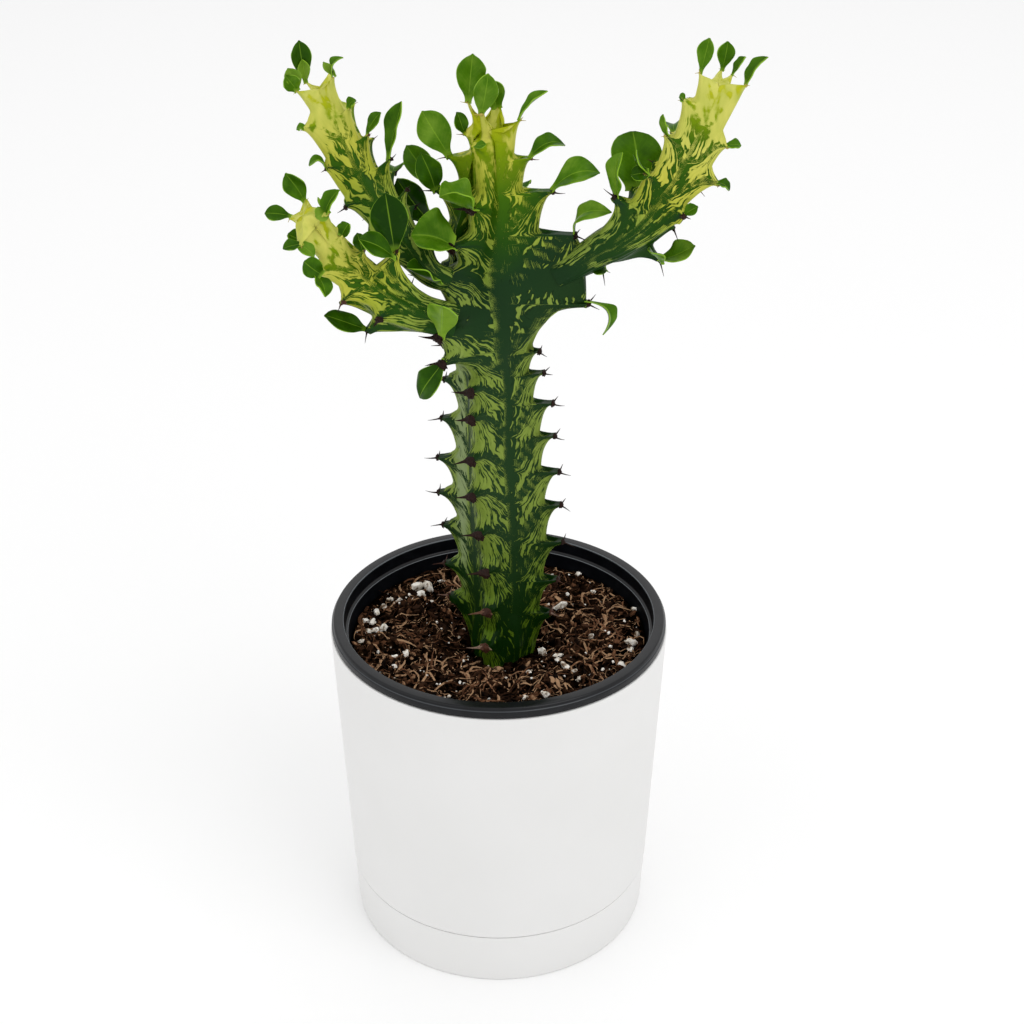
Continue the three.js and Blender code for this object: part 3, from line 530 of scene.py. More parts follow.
# Trunk and branches: fleshy stems with four toothed ribs each, grown as one plant. A stem is a spline, and
# a tooth is its length along the stem, its reach from the middle, and where they differ from its rib's and
# its stem's, the angle and the share of reach left in the notch above it. A rib may have a foot of its own.
STEMS = {
    "trunk": {
        "start": 90, "edge": 1.6, "notch": 0.79, "foot": 10, "hollow": 13,
        "path": [(1.5, -1, 90), (1.5, -1, 113), (0.5, -0.5, 160), (-0.5, 0, 210), (-1.5, 0, 260),
                 (-2.5, 0, 299)],
        "valley": [(90, 9), (113, 12.5), (125, 10.5), (205, 10), (222, 11.5), (240, 13), (258, 11.5),
                   (275, 7), (296, 3.5)],
        "ripe": [(90, 0), (120, 0.03), (145, 0.16), (170, 0.3), (240, 0.45), (252, 0.52), (261, 0.59),
                 (271, 0.67), (280, 0.76), (291, 0.88), (299, 0.93)],
        "cream": [(90, 0), (120, 0.03), (145, 0.17), (170, 0.31), (240, 0.5), (262, 0.68), (282, 0.87),
                  (299, 1)],
        "pale": [(90, -0.03), (125, -0.02), (165, 0.03), (215, 0.03), (228, -0.03), (248, -0.03),
                 (262, -0.04), (285, -0.03), (299, 0.05)],
        "fan": 6.5,
        "ribs": {
            "right": (24, [
                (124, 18), (137.5, 20.5), (152.5, 22.5), (166, 22), (178, 21.5), (190.5, 20), (202, 19.5),
                (212, 16.5), (219, 15), (238, 31.5, 24, 1.17), (259, 27.5), (271.5, 20.5), (281, 13.5),
                (292.5, 10.5)]),
            "front": (115, [
                (117.5, 19.5, 108), (131, 18.5, 106), (146, 18.5, 107), (161, 20, 110), (175, 21),
                (187.5, 20.5), (201.5, 19.5), (210.5, 19, 116), (222, 26.5, 128, 0.95), (231, 27, 129),
                (247, 24, 147), (256, 17, 138), (267.5, 12, 122), (285, 8.5, 122), (294, 4.5, 122)], 15),
            "left": (190, [
                (125, 18.5), (138, 19.5), (153, 19.5), (165, 20.5), (178, 20.5), (192.5, 18.5), (206, 17),
                (218, 17), (231, 18), (244, 19), (256, 18.5), (269, 17.5), (279.5, 13), (287, 8),
                (296.5, 6.5)]),
            "back": (290, [
                (119, 17), (132, 19), (146, 20), (160, 21), (173, 21), (186, 20), (198, 19), (210, 19),
                (223, 24), (237, 27), (250, 25), (262, 21), (273, 15), (283, 11), (293, 7)]),
        },
    },
    "branch_right": {
        "start": -7, "edge": 0.9, "notch": 0.82, "foot": 4.5, "hollow": 3.6,
        "path": [(18.5, -9, 246), (24, -11, 250), (31, -14, 256), (36.5, -16, 260), (45, -18, 268.5),
                 (53, -20, 282), (58, -21, 294.5), (61.5, -22, 305), (63, -22, 311)],
        "valley": [(-7, 3.6), (12, 5), (25, 7), (45, 6.5), (62, 5), (76, 3.2)],
        "ripe": [(-7, 0.45), (20, 0.52), (40, 0.58), (55, 0.64), (64, 0.8), (76, 1)],
        "cream": [(-7, 0.42), (12, 0.5), (28, 0.62), (42, 0.86), (55, 0.95), (76, 1)],
        "pale": [(-7, -0.04), (12, -0.03), (28, -0.02), (42, 0.0), (55, 0.05), (64, 0.11), (76, 0.15)],
        "fan": 3.6,
        "ribs": {
            "lower": (-40, [
                (5.5, 6.5, -5), (21.5, 13.5, -5), (29, 10, -20), (41, 11, -35), (53, 10.5, -45),
                (65, 9, -50), (75.7, 6, -50)]),
            "front": (50, [(37.5, 11, 55), (49.5, 13.5, 45), (59, 10.5, 40), (75.7, 8.5, 35)]),
            "upper": (150, [(30.5, 16), (42, 12), (55.5, 11.5), (67.5, 10.5), (75.7, 8)]),
            "back": (240, [(28.5, 12.5), (40, 12), (52, 11), (64, 9.5), (75.7, 6.5, 278)]),
        },
    },
    "branch_left_upper": {
        "start": -6, "edge": 0.9, "notch": 0.64, "foot": 4, "hollow": 4.5,
        "path": [(-15.5, -10.5, 245), (-20.5, -12, 248), (-26, -8, 254), (-31.5, -4, 260.5), (-37, 0, 268),
                 (-42, 3, 276), (-46, 5, 285), (-50, 6, 293.5), (-54, 7, 301.5)],
        "valley": [(-6, 3.6), (12, 5), (30, 5.5), (50, 4.8), (67, 3)],
        "ripe": [(-6, 0.5), (20, 0.56), (40, 0.6), (50, 0.7), (58, 0.85), (67, 1)],
        "cream": [(-6, 0.45), (15, 0.55), (30, 0.68), (42, 0.82), (52, 0.92), (67, 1)],
        "pale": [(-6, -0.05), (15, -0.01), (30, 0.02), (42, 0.04), (52, 0.08), (67, 0.16)],
        "fan": 3.0,
        "ribs": {
            "right": (20, [(12, 9, 15), (24, 11, 18), (35.5, 12, 20), (46.5, 9, 28), (56, 8, 35),
                           (65.5, 8, 38)]),
            "left": (140, [(10, 8), (19, 9, 140, 0.8), (30, 10.5, 140, 0.88), (42, 10.5, 140, 0.88),
                           (56.5, 11.5, 140, 0.88), (67, 7.5)]),
            "lower": (230, [(14, 9), (26, 10), (38, 10), (50, 9), (60, 8), (67, 6)]),
            "back": (310, [(8, 8), (20, 10), (32, 11), (44, 10), (55, 9), (67, 7)]),
        },
    },
    "branch_left_lower": {
        "start": -5, "edge": 0.9, "notch": 0.72, "foot": 6, "hollow": 3.6,
        "path": [(-14, -14.5, 233), (-18.5, -16, 235), (-24.5, -20, 238.5), (-30.5, -22, 242.5),
                 (-39, -24, 250), (-46, -25, 258), (-51, -26, 266), (-55.5, -26, 271), (-58, -26.5, 273.5)],
        "valley": [(-5, 4.5), (15, 6.2), (35, 5.5), (57, 3)],
        "ripe": [(-5, 0.5), (15, 0.56), (30, 0.62), (40, 0.75), (48, 0.88), (58, 1)],
        "cream": [(-5, 0.5), (12, 0.58), (24, 0.74), (35, 0.88), (46, 0.97), (58, 1)],
        "pale": [(-5, -0.04), (12, 0), (24, 0.03), (35, 0.06), (46, 0.1), (58, 0.16)],
        "fan": 3.2,
        "ribs": {
            "upper": (20, [(28, 14.5, 10), (36, 8.5, 20), (44.5, 7, 28), (50.5, 7.5, 32)]),
            "front": (115, [(20, 10, 112), (31, 12.5), (40.5, 12, 118), (49.5, 9, 125)]),
            "lower": (195, [(16, 14, 190), (26.5, 12.2, 198), (36, 11, 205), (46, 9, 210), (56, 5.5, 215)]),
            "back": (290, [(10, 9), (22, 11), (33, 10), (43, 9), (55.5, 6)]),
        },
    },
}
PLAIN_PLACES = {  # where the front is plainer or paler: place across and up, its size, the change
    "trunk": [((-9, 233), (6.5, 4.5), -0.26), ((20, 244.5), (11, 4.5), -0.3), ((18, 236.5), (10, 3), 0.04),
              ((11, 226), (4, 7), 0.08), ((-1.7, 244), (1.9, 9), 0.15), ((0, 229), (1.6, 7), 0.15),
              # The long narrow patch at -11.6 across makes the front rib's left face paler: a painted
              # sheen.
              ((3.5, 122), (6, 12), -0.08), ((-11.6, 172), (2.4, 52), 0.1)],
    "branch_right": [((28, 247), (13, 4.5), -0.34), ((42, 254), (9, 5.5), -0.32),
                     ((50, 260), (7, 5), -0.3)],
    "branch_left_upper": [],
    "branch_left_lower": [((-16, 231), (8, 5), -0.3)],
}
PAINTED_SHEEN_PLACES = {"trunk": [((-11.8, 176), (2.2, 48), 1)]}  # where a grey-green painted sheen is mixed into the front's pale skin
LEDGE_RISE = {"right": -2.0, "front": 1.0, "left": 1.7, "back": 1.2, "upper": -1.0, "lower": 0.5}
LEDGE_SHARE = 0.13  # of the way from one tooth to the next
NOTCH_DEEPER = 0.95
NOTCH_ROUNDING = 2.6  # the soft corner at a ledge's inner end
NOTCH_LENGTH = 4.5  # how far along the stem a notch draws the flank in
NOSE = 0.93  # the share of a flank over which it curves out to its tooth
RIB_ROOT = 0.78  # a rib's reach at its root, as a share of its notch's
TOWARDS_VIEWER = Vector((0, -1, 0))


def between(table, at):
    """A value read off a table of places and values, straight between them."""
    if at <= table[0][0]:
        return table[0][1]
    for (a, low), (b, high) in zip(table, table[1:]):
        if at <= b:
            return low + (high - low) * (at - a) / (b - a)
    return table[-1][1]


def measure(stem):
    """Follows the stem's spline in short steps, so that a place can be found by its length."""
    path = [Vector(p) for p in stem["path"]]
    path = [2 * path[0] - path[1], *path, 2 * path[-1] - path[-2]]
    stem["line"] = []
    length = 0
    for a, b, c, d in zip(path, path[1:], path[2:], path[3:]):
        out, back = (c - a) / 2, (d - b) / 2
        for k in range(40):
            t = k / 40
            square, cube = 3 * c - 3 * b - 2 * out - back, 2 * b - 2 * c + out + back
            p = b + out * t + square * t ** 2 + cube * t ** 3
            length += (p - stem["line"][-1][1]).length if stem["line"] else 0
            stem["line"].append((length, p))
    length += (path[-2] - stem["line"][-1][1]).length
    stem["line"].append((length, path[-2]))
    stem["length"] = length
    stem["end"] = stem["start"] + length


def cross_axes(stem, along):
    """The middle of the stem at a length, with its forward, front and right directions."""
    line = stem["line"]
    at = min(max(along - stem["start"], 0), stem["length"])
    low, high = 0, len(line) - 1
    while high - low > 1:
        mid = (low + high) // 2
        low, high = (mid, high) if line[mid][0] <= at else (low, mid)
    share = (at - line[low][0]) / (line[high][0] - line[low][0])
    before, after = line[max(low - 3, 0)][1], line[min(high + 3, len(line) - 1)][1]
    forward = (after - before).normalized()
    middle = line[low][1].lerp(line[high][1], share) + forward * (along - stem["start"] - at)
    front = (TOWARDS_VIEWER - forward * TOWARDS_VIEWER.dot(forward)).normalized()
    return middle, forward, front, forward.cross(front)


def stem_point(stem, along, reach, angle, sideways=0.0):
    """A place beside the stem. Angle 0 is to the right of its middle and 90 in front of it."""
    middle, _, front, right = cross_axes(stem, along)
    c, s = math.cos(math.radians(angle)), math.sin(math.radians(angle))
    return middle + right * (reach * c - sideways * s) + front * (reach * s + sideways * c)


def tooth_angle(rib, tooth):
    """A tooth's own angle, or else its rib's."""
    return tooth[2] if len(tooth) > 2 else rib[0]


def rib_edge(stem, rib, rise, at):
    """A rib's edge at a length of the stem: a flat ledge in from each tooth, then a hollow flank out."""
    teeth = rib[1]
    foot = rib[2] if len(rib) > 2 else stem["foot"]
    knots = [(stem["start"], foot, tooth_angle(rib, teeth[0])), *teeth]
    last = (stem["end"] + 0.01, between(stem["valley"], stem["end"]), tooth_angle(rib, teeth[-1]))
    j = max(i for i, knot in enumerate(knots) if knot[0] <= at + 1e-6)
    here, after = knots[j], knots[j + 1] if j + 1 < len(knots) else last
    beyond = knots[j + 2] if j + 2 < len(knots) else last
    share = min(1, max(0, (at - here[0]) / (after[0] - here[0])))
    keep = (here[3] if len(here) > 3 else stem["notch"]) * NOTCH_DEEPER
    notch = keep * min(here[1], after[1]) if j else here[1]
    next_keep = (after[3] if len(after) > 3 else stem["notch"]) * NOTCH_DEEPER
    next_notch = next_keep * min(after[1], beyond[1])
    rise, ledge = (rise, LEDGE_SHARE) if j else (0, 0)
    rounding = min(NOTCH_ROUNDING, 0.2 * (after[0] - here[0]), 0.6 * (here[1] - notch))
    if share < ledge:
        inward = share / ledge
        along = here[0] + rise * (1 - math.cos(inward * math.pi / 2))
        reach = here[1] + (notch + rounding - here[1]) * math.sin(inward * math.pi / 2)
    else:
        outward = (share - ledge) / (1 - ledge)
        along = here[0] + rise + (after[0] - here[0] - rise) * outward
        rounded_out = min(1, outward / NOSE)
        curve = 0.85 * (1 - math.sqrt(1 - rounded_out ** 2)) + 0.15 * rounded_out ** 2
        reach = notch + (after[1] - notch) * curve
        if j and along - here[0] - rise < rounding:
            corner = 1 - (along - here[0] - rise) / rounding
            reach += rounding * (1 - math.sqrt(max(0, 1 - corner ** 2)))
    turn = tooth_angle(rib, here) + (tooth_angle(rib, after) - tooth_angle(rib, here)) * share
    envelope = here[1] + (after[1] - here[1]) * share
    pinch = math.sin(math.pi / 2 * share / ledge) if share < ledge else max(0, 1 - 3 * (share - ledge))
    notches = [here[0] + ledge * (after[0] - here[0]), after[0] + LEDGE_SHARE * (beyond[0] - after[0])]
    dip = max(math.cos(math.pi / 2 * min(1, abs(at - place) / NOTCH_LENGTH)) ** 2 for place in notches)
    root = RIB_ROOT * (notch + (next_notch - notch) * share)
    if after is last:
        along = here[0] + (stem["end"] - stem["hollow"] - here[0]) * share ** 0.8
        reach = here[1] * (1 - share) + 0.1
        root, ledge, pinch, dip = 0.8 * reach, 0, 0, 0
    return {"along": along, "reach": reach, "angle": turn, "root": root,
            "span": after[0] - here[0], "envelope": envelope, "ledge": share < ledge, "knots": knots,
            "notch": notch, "pinch": pinch if j else 0, "dip": dip if j else 0, "drop": 0.8 * dip * rise}


def spline_through(points, t):
    """A smooth curve through the points, with t running from 0 to the last point's number."""
    i = min(int(t), len(points) - 2)
    f = t - i
    b, c = points[i], points[i + 1]
    a = points[i - 1] if i > 0 else b * 2 - c
    d = points[i + 2] if i + 2 < len(points) else c * 2 - b
    square, cube = (2 * a - 5 * b + 4 * c - d) * (f * f / 2), (3 * b - a - 3 * c + d) * (f ** 3 / 2)
    return b + (c - a) * (f / 2) + square + cube


def smooth_step(low, high, x):
    """Goes smoothly from 0 at the low end to 1 at the high end."""
    t = min(1, max(0, (x - low) / (high - low)))
    return t * t * (3 - 2 * t)


SWELL_SEED = 1
noise.seed_set(SWELL_SEED)  # without a seed the vector noise would differ from run to run


def swell(point, seed):
    """The point with a slow unevenness added, as grown things have."""
    return point + noise.noise_vector(point * 0.09 + Vector((seed, seed, seed))) * 0.35


RIB_STEPS = 20
RING_GAP = 0.5
SECTOR_STOPS = [  # where the steps between two ribs lie on the nine points across their valley
    0, 0.4, 0.8, 1.2, 1.65, 2.1, 2.55, 3.0, 3.35, 3.7, 4, 4.3, 4.65, 5.0, 5.45, 5.9, 6.35, 6.8, 7.2, 7.6, 8,
]
BAND_REACH = 1.15
SKIN_MARKS = ("across", "below", "cover", "ripe", "cream", "painted_sheen")


def streak_place(stem, edge, arc, arc_end, height, side, young):
    """Where a place lies in its tooth's fan: across, below the tip, its pale amount and green ledge."""
    recess = edge["envelope"] - edge["reach"]
    deep = edge["envelope"] - edge["notch"] + arc_end
    slanted = height + BAND_REACH * edge["span"] * min(1.2, (recess + arc) / deep) ** 2
    tips = [knot[0] for knot in edge["knots"][1:]]
    above = [tip for tip in tips if tip >= slanted]
    top = above[0] if above else tips[-1] + 10
    number = len(tips) - len(above)
    low = tips[number - 1] if number else stem["start"]
    span = top - low
    below = top - height
    under_band = top - slanted
    border = deep * math.sqrt(max(0, below) / (BAND_REACH * span))
    across = min(1.2, arc / max(0.5, border - recess))
    near_edge = 0.1 + 0.12 * smooth_step(0.62, 0.85, young)
    cover = near_edge * (1 - smooth_step(0.0, 0.35, across)) - 0.1 * smooth_step(0.4, 1.0, across)
    ledge_band = 1 - smooth_step(0.0, 0.1 * span, under_band)
    cover -= (0.24 - 0.16 * smooth_step(0.6, 0.95, young)) * ledge_band
    cover -= 0.2 * smooth_step(0.85, 1.0, under_band / span)
    cover -= 0.18 * smooth_step(0.8, 0.98, arc / arc_end) * (1 - 0.8 * smooth_step(0.6, 0.85, young))
    if edge["ledge"]:
        cover -= 0.1 * (1 - smooth_step(0.1, 0.3, arc / arc_end))
    return across * stem["fan"] + 17.3 * number + 91.7 * side, below, cover, ledge_band


def plainness(patches, place):
    """The change that the given patches make at a place, fading out towards their borders."""
    change = 0
    for (x, z), (wide, tall), amount in patches:
        off = math.hypot((place.x - x) / wide, (place.z - z) / tall)
        change += amount * (1 - smooth_step(0.55, 1.15, off))
    return change


def grow(name, stem):
    """A stem as a sheet of rings, wrapped round its spline and welded, with its growth marked on it."""
    measure(stem)
    rings = round(stem["length"] / RING_GAP)
    around = RIB_STEPS * len(stem["ribs"])
    bm = bmesh.new()
    marks = {mark: bm.verts.layers.float.new(mark) for mark in SKIN_MARKS}
    bmesh.ops.create_grid(bm, x_segments=around, y_segments=rings, size=0.5)
    edges_at = {}
    for vert in bm.verts:
        column = round((vert.co.x + 0.5) * around)
        row = round((vert.co.y + 0.5) * rings)
        at = stem["start"] + stem["length"] * row / rings
        left = stem["end"] - at
        if row not in edges_at:
            edges_at[row] = [rib_edge(stem, rib, LEDGE_RISE[rib_name], at)
                             for rib_name, rib in stem["ribs"].items()]
        k = min(column // RIB_STEPS, len(stem["ribs"]) - 1)
        step = column - k * RIB_STEPS
        here, other = edges_at[row][k], edges_at[row][(k + 1) % len(stem["ribs"])]
        turn = (other["angle"] - here["angle"]) % 360
        sunk = max(0, 1 - left / stem["hollow"])
        floor = at if sunk == 0 else stem["end"] - stem["hollow"] * (1 - 0.1 * math.sin(math.pi * sunk))
        valley = between(stem["valley"], at) * (1 - sunk) ** 0.8 + 0.05
        half = []
        for edge, sign in ((here, 1), (other, -1)):
            w = stem["edge"] * (0.4 + 0.6 * min(1, edge["reach"] / 6)) * (1 - sunk ** 3)
            root = edge["root"] * (1 - 0.5 * sunk)
            root_at = floor + 0.3 * (edge["along"] - floor) if sunk else at + edge["drop"]
            mid_reach = edge["reach"] * 0.66 + root * 0.34
            crest = sign * 0.95 * w * (1 - 0.45 * edge["pinch"])
            flank = sign * 1.5 * w * (1 - 0.3 * edge["dip"])
            half.append([
                stem_point(stem, edge["along"], edge["reach"], edge["angle"]),
                stem_point(stem, edge["along"], edge["reach"] - 0.3 * w, edge["angle"], crest),
                stem_point(stem, edge["along"] * 0.6 + root_at * 0.4, mid_reach, edge["angle"], flank),
                stem_point(stem, root_at, root, edge["angle"], sign * 2.5 * w),
            ])
        points = half[0] + [stem_point(stem, floor, valley, here["angle"] + turn / 2)] + half[1][::-1]
        point = spline_through(points, SECTOR_STOPS[step])
        first = step <= RIB_STEPS // 2
        near, side = (here, 2 * k) if first else (other, 2 * ((k + 1) % len(stem["ribs"])) + 1)
        arcs = [0]
        for a, b in zip(points[:4], points[1:5]) if first else zip(points[:3:-1], points[-2:2:-1]):
            arcs.append(arcs[-1] + (b - a).length)
        stop = SECTOR_STOPS[step] if first else 8 - SECTOR_STOPS[step]
        arc = between(list(enumerate(arcs)), stop)
        middle, forward, _, _ = cross_axes(stem, at)
        offset = point - middle
        height = at + offset.dot(forward)
        young = between(stem["cream"], height)
        across, below, cover, ledge_band = streak_place(stem, near, arc, arcs[-1], height, side, young)
        cover += between(stem["pale"], height)
        cover += plainness(PLAIN_PLACES[name], point) if point.y < middle.y + 3 else 0
        # Painted shade: just under each tooth's ledge, near the rib's edge, the skin is made less ripe and
        # so darker green. The flesh far out from the middle is also kept greener, as it grows.
        shadowed = 0.13 * ledge_band * (1 - smooth_step(0.1, 0.45, arc / arcs[-1]))
        painted_shade_and_age = shadowed + 0.012 * max(0, offset.length - 12)
        ripe = between(stem["ripe"], height) - painted_shade_and_age
        # A painted sheen on the front rib's left face, where its pale skin is greyed.
        painted_sheen = plainness(PAINTED_SHEEN_PLACES.get(name, []), point) if point.y < middle.y else 0
        for mark, value in zip(SKIN_MARKS, (across, below, cover, ripe, young, painted_sheen)):
            vert[marks[mark]] = value
        vert.co = swell(point, stem["seed"])
    bmesh.ops.remove_doubles(bm, verts=bm.verts, dist=0.01)
    rims = [e for e in bm.edges if e.is_boundary]
    bmesh.ops.holes_fill(bm, edges=rims, sides=0)
    bmesh.ops.recalc_face_normals(bm, faces=bm.faces)
    return bm


# Their skin is variegated: dark green flesh with pale streaks that fan out from each tooth and bend down
# along the stem. Old skin is deep green, and the young tips are lime and cream.
skin, tree, shader = new_material("variegated_skin", 0.4, 0.06)
link = tree.links.new
mark = {name: attribute(tree, name) for name in SKIN_MARKS}


def math_node(operation, a, b=None, c=None, clamp=False):
    """A sum of sockets and numbers, in the material that is being made."""
    node = tree.nodes.new("ShaderNodeMath")
    node.operation = operation
    node.use_clamp = clamp
    for socket, value in zip(node.inputs, (a, b, c)):
        if isinstance(value, (int, float)):
            socket.default_value = value
        elif value is not None:
            link(value, socket)
    return node.outputs["Value"]


def noise_node(vector, scale, detail, distortion=0.0):
    """A cloudy noise, in the material that is being made."""
    node = tree.nodes.new("ShaderNodeTexNoise")
    node.inputs["Scale"].default_value = scale
    node.inputs["Detail"].default_value = detail
    node.inputs["Distortion"].default_value = distortion
    link(vector, node.inputs["Vector"])
    return node.outputs["Fac"]


def blend(factor, a, b, way="MIX"):
    """Mixes two colours. Each is a socket or three numbers."""
    node = tree.nodes.new("ShaderNodeMix")
    node.data_type = "RGBA"
    node.blend_type = way
    link(factor, node.inputs["Factor"])
    for socket, value in ((node.inputs["A"], a), (node.inputs["B"], b)):
        if isinstance(value, tuple):
            socket.default_value = (*value, 1)
        else:
            link(value, socket)
    return node.outputs["Result"]


def emboss(height, strength, distance):
    """Adds a relief on top of the grain that the shader already has."""
    node = tree.nodes.new("ShaderNodeBump")
    node.inputs["Strength"].default_value = strength
    node.inputs["Distance"].default_value = distance
    link(shader.inputs["Normal"].links[0].from_socket, node.inputs["Normal"])
    link(height, node.inputs["Height"])
    link(node.outputs["Normal"], shader.inputs["Normal"])


coordinates = tree.nodes.new("ShaderNodeTexCoord").outputs["Object"]
wander = noise_node(coordinates, 170, 1.5)
bent = math_node("MULTIPLY_ADD", wander, 1.5, mark["across"])
place = tree.nodes.new("ShaderNodeCombineXYZ")
link(math_node("MULTIPLY", bent, 3.0), place.inputs["X"])
link(math_node("MULTIPLY", mark["below"], 0.15), place.inputs["Y"])
streaks = noise_node(place.outputs["Vector"], 1, 2.5, 0.5)
islands = noise_node(coordinates, 420, 2)
young = math_node("MULTIPLY_ADD", mark["ripe"], 6, -3.8, clamp=True)
stretched = tree.nodes.new("ShaderNodeMapping")
stretched.inputs["Scale"].default_value = (1, 1, 0.3)
link(coordinates, stretched.inputs["Vector"])
blotches = noise_node(stretched.outputs["Vector"], 330, 1.5, 0.4)
to_blotches = math_node("SUBTRACT", blotches, streaks)
streaks = math_node("MULTIPLY_ADD", to_blotches, math_node("MULTIPLY", young, 0.85), streaks)
level = math_node("ADD", streaks, mark["cover"])
level = math_node("ADD", level, math_node("MULTIPLY_ADD", islands, 0.35, -0.675))
sharpness = math_node("MULTIPLY_ADD", young, -12, 22)
pale = math_node("MULTIPLY_ADD", level, sharpness, 0.5, clamp=True)
off_border = math_node("ABSOLUTE", math_node("ADD", level, 0.035))
outline = math_node("SUBTRACT", 1.0, math_node("MULTIPLY", off_border, 22), clamp=True)
# The ripeness mark that sets the dark green also carries the painted shade under the ledges.
dark_by_age = ramp(tree, [
    (0, (0.003, 0.018, 0.001)), (0.3, (0.013, 0.04, 0.01)), (0.46, (0.01, 0.036, 0.01)),
    (0.56, (0.017, 0.065, 0.003)), (0.66, (0.045, 0.125, 0.002)), (0.8, (0.2, 0.3, 0.002)),
    (0.9, (0.42, 0.45, 0.007)), (1, (0.58, 0.58, 0.05)),
])
pale_by_age = ramp(tree, [
    (0, (0.07, 0.13, 0.004)), (0.3, (0.21, 0.28, 0.05)), (0.5, (0.23, 0.31, 0.055)),
    (0.62, (0.28, 0.36, 0.05)), (0.75, (0.43, 0.46, 0.045)), (0.87, (0.57, 0.55, 0.075)),
    (1, (0.67, 0.65, 0.15)),
])
link(mark["ripe"], dark_by_age.inputs["Fac"])
link(mark["cream"], pale_by_age.inputs["Fac"])
outline_depth = math_node("MULTIPLY", outline, math_node("MULTIPLY_ADD", young, -0.4, 0.55))
dark = blend(outline_depth, dark_by_age.outputs["Color"], (0.25, 0.3, 0.2), "MULTIPLY")
light = blend(math_node("MULTIPLY_ADD", streaks, -2.2, 1.6, clamp=True), pale_by_age.outputs["Color"],
              (0.62, 0.72, 0.5), "MULTIPLY")
# Painted sheen: the pale skin is mixed towards grey-green on the front rib's left face.
light = blend(math_node("MULTIPLY", mark["painted_sheen"], 0.55), light, (0.27, 0.33, 0.2))
link(blend(pale, dark, light), shader.inputs["Base Color"])
add_grain(tree, shader, 100, 2, 1300, 0.12)
emboss(pale, 0.2, 0.0003)

for seed, (name, stem) in enumerate(STEMS.items()):
    stem["seed"] = seed * 5.3
    piece = finish_mesh("ribbed_" + name, grow(name, stem), skin, 55)
    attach(piece, "root")
    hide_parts(name)


# Pads and spines: every tooth ends in a dark horny pad with a pair of spines, one longer than the other.
# They are brown-black on the older stem, greyish where they are dry near the soil, and small on the tips.
SPINES = {  # of each rib: turn from the rib's own direction, lift and length, for the two spines
    "trunk": {
        "right": ((20, -0.05, 4.2), (-88, 0.3, 2.9)), "front": ((55, -0.05, 4.6), (-68, -0.1, 1.9)),
        "left": ((-8, -0.1, 4.2), (90, 0.35, 2.8)), "back": ((50, 0, 3.6), (-50, 0, 3.6)),
    },
    "branch_right": {
        "lower": ((60, -0.4, 3.6), (-50, -0.3, 3.8)), "front": ((60, -0.1, 2.6), (-60, -0.1, 2.6)),
        "upper": ((-35, 0.7, 3.6), (40, -0.3, 3.2)), "back": ((55, 0, 2.8), (-55, 0, 2.8)),
    },
    "branch_left_upper": {
        "right": ((10, 0.1, 2.9), (80, -0.2, 1.8)), "left": ((30, -0.1, 2.6), (-40, 0.4, 2.4)),
        "lower": ((50, -0.2, 2.6), (-50, -0.2, 2.6)), "back": ((50, 0, 2.6), (-50, 0, 2.6)),
    },
    "branch_left_lower": {
        "upper": ((-10, 0.2, 3.2), (60, -0.1, 2.4)), "front": ((60, -0.3, 2.8), (-50, -0.3, 2.8)),
        "lower": ((55, -0.5, 3.4), (-60, -0.5, 3.6)), "back": ((50, 0, 2.6), (-50, 0, 2.6)),
    },
}


def tooth_axes(stem, along, angle):
    """The outward, sideways and forward directions at a tooth."""
    _, forward, front, right = cross_axes(stem, along)
    c, s = math.cos(math.radians(angle)), math.sin(math.radians(angle))
    return right * c + front * s, front * c - right * s, forward


def set_pad(place, axes, size, seed):
    """Sets a horny pad on a tooth: a ball made angular, broad across the rib and thin along it."""
    outward, sideways, forward = axes
    offset = Vector((seed * 3.1, seed * 7.7, seed * 1.3))

    def move(co):
        p = co * (1 + 0.25 * noise.noise(co * 1.4 + offset) + 0.4 * noise.noise(co * 3.2 + offset))
        reach = 0.7 * p.x + 0.45 * max(0, 1 - abs(p.y) - abs(p.z))
        tall = 1.3 * (1 - 0.3 * p.y) * p.z
        return place + (outward * reach + sideways * 1.45 * p.y + forward * (tall - 0.35 * p.y ** 2)) * size

    return move


def set_spine(root, direction, bend, length, thick):
    """Sets a spine on a pad: thick at its root, pointed, and bent a little."""
    side = direction.orthogonal().normalized()
    other = direction.cross(side)

    def move(co):
        share = co.z + 0.5
        width = thick * (0.55 * (1 - share) + 0.6 * max(0, 1 - 3 * share) ** 2) + 0.05
        along = root + direction * length * share + bend * (length * share * share * 0.16)
        return along + (side * co.x + other * co.y) * width

    return move


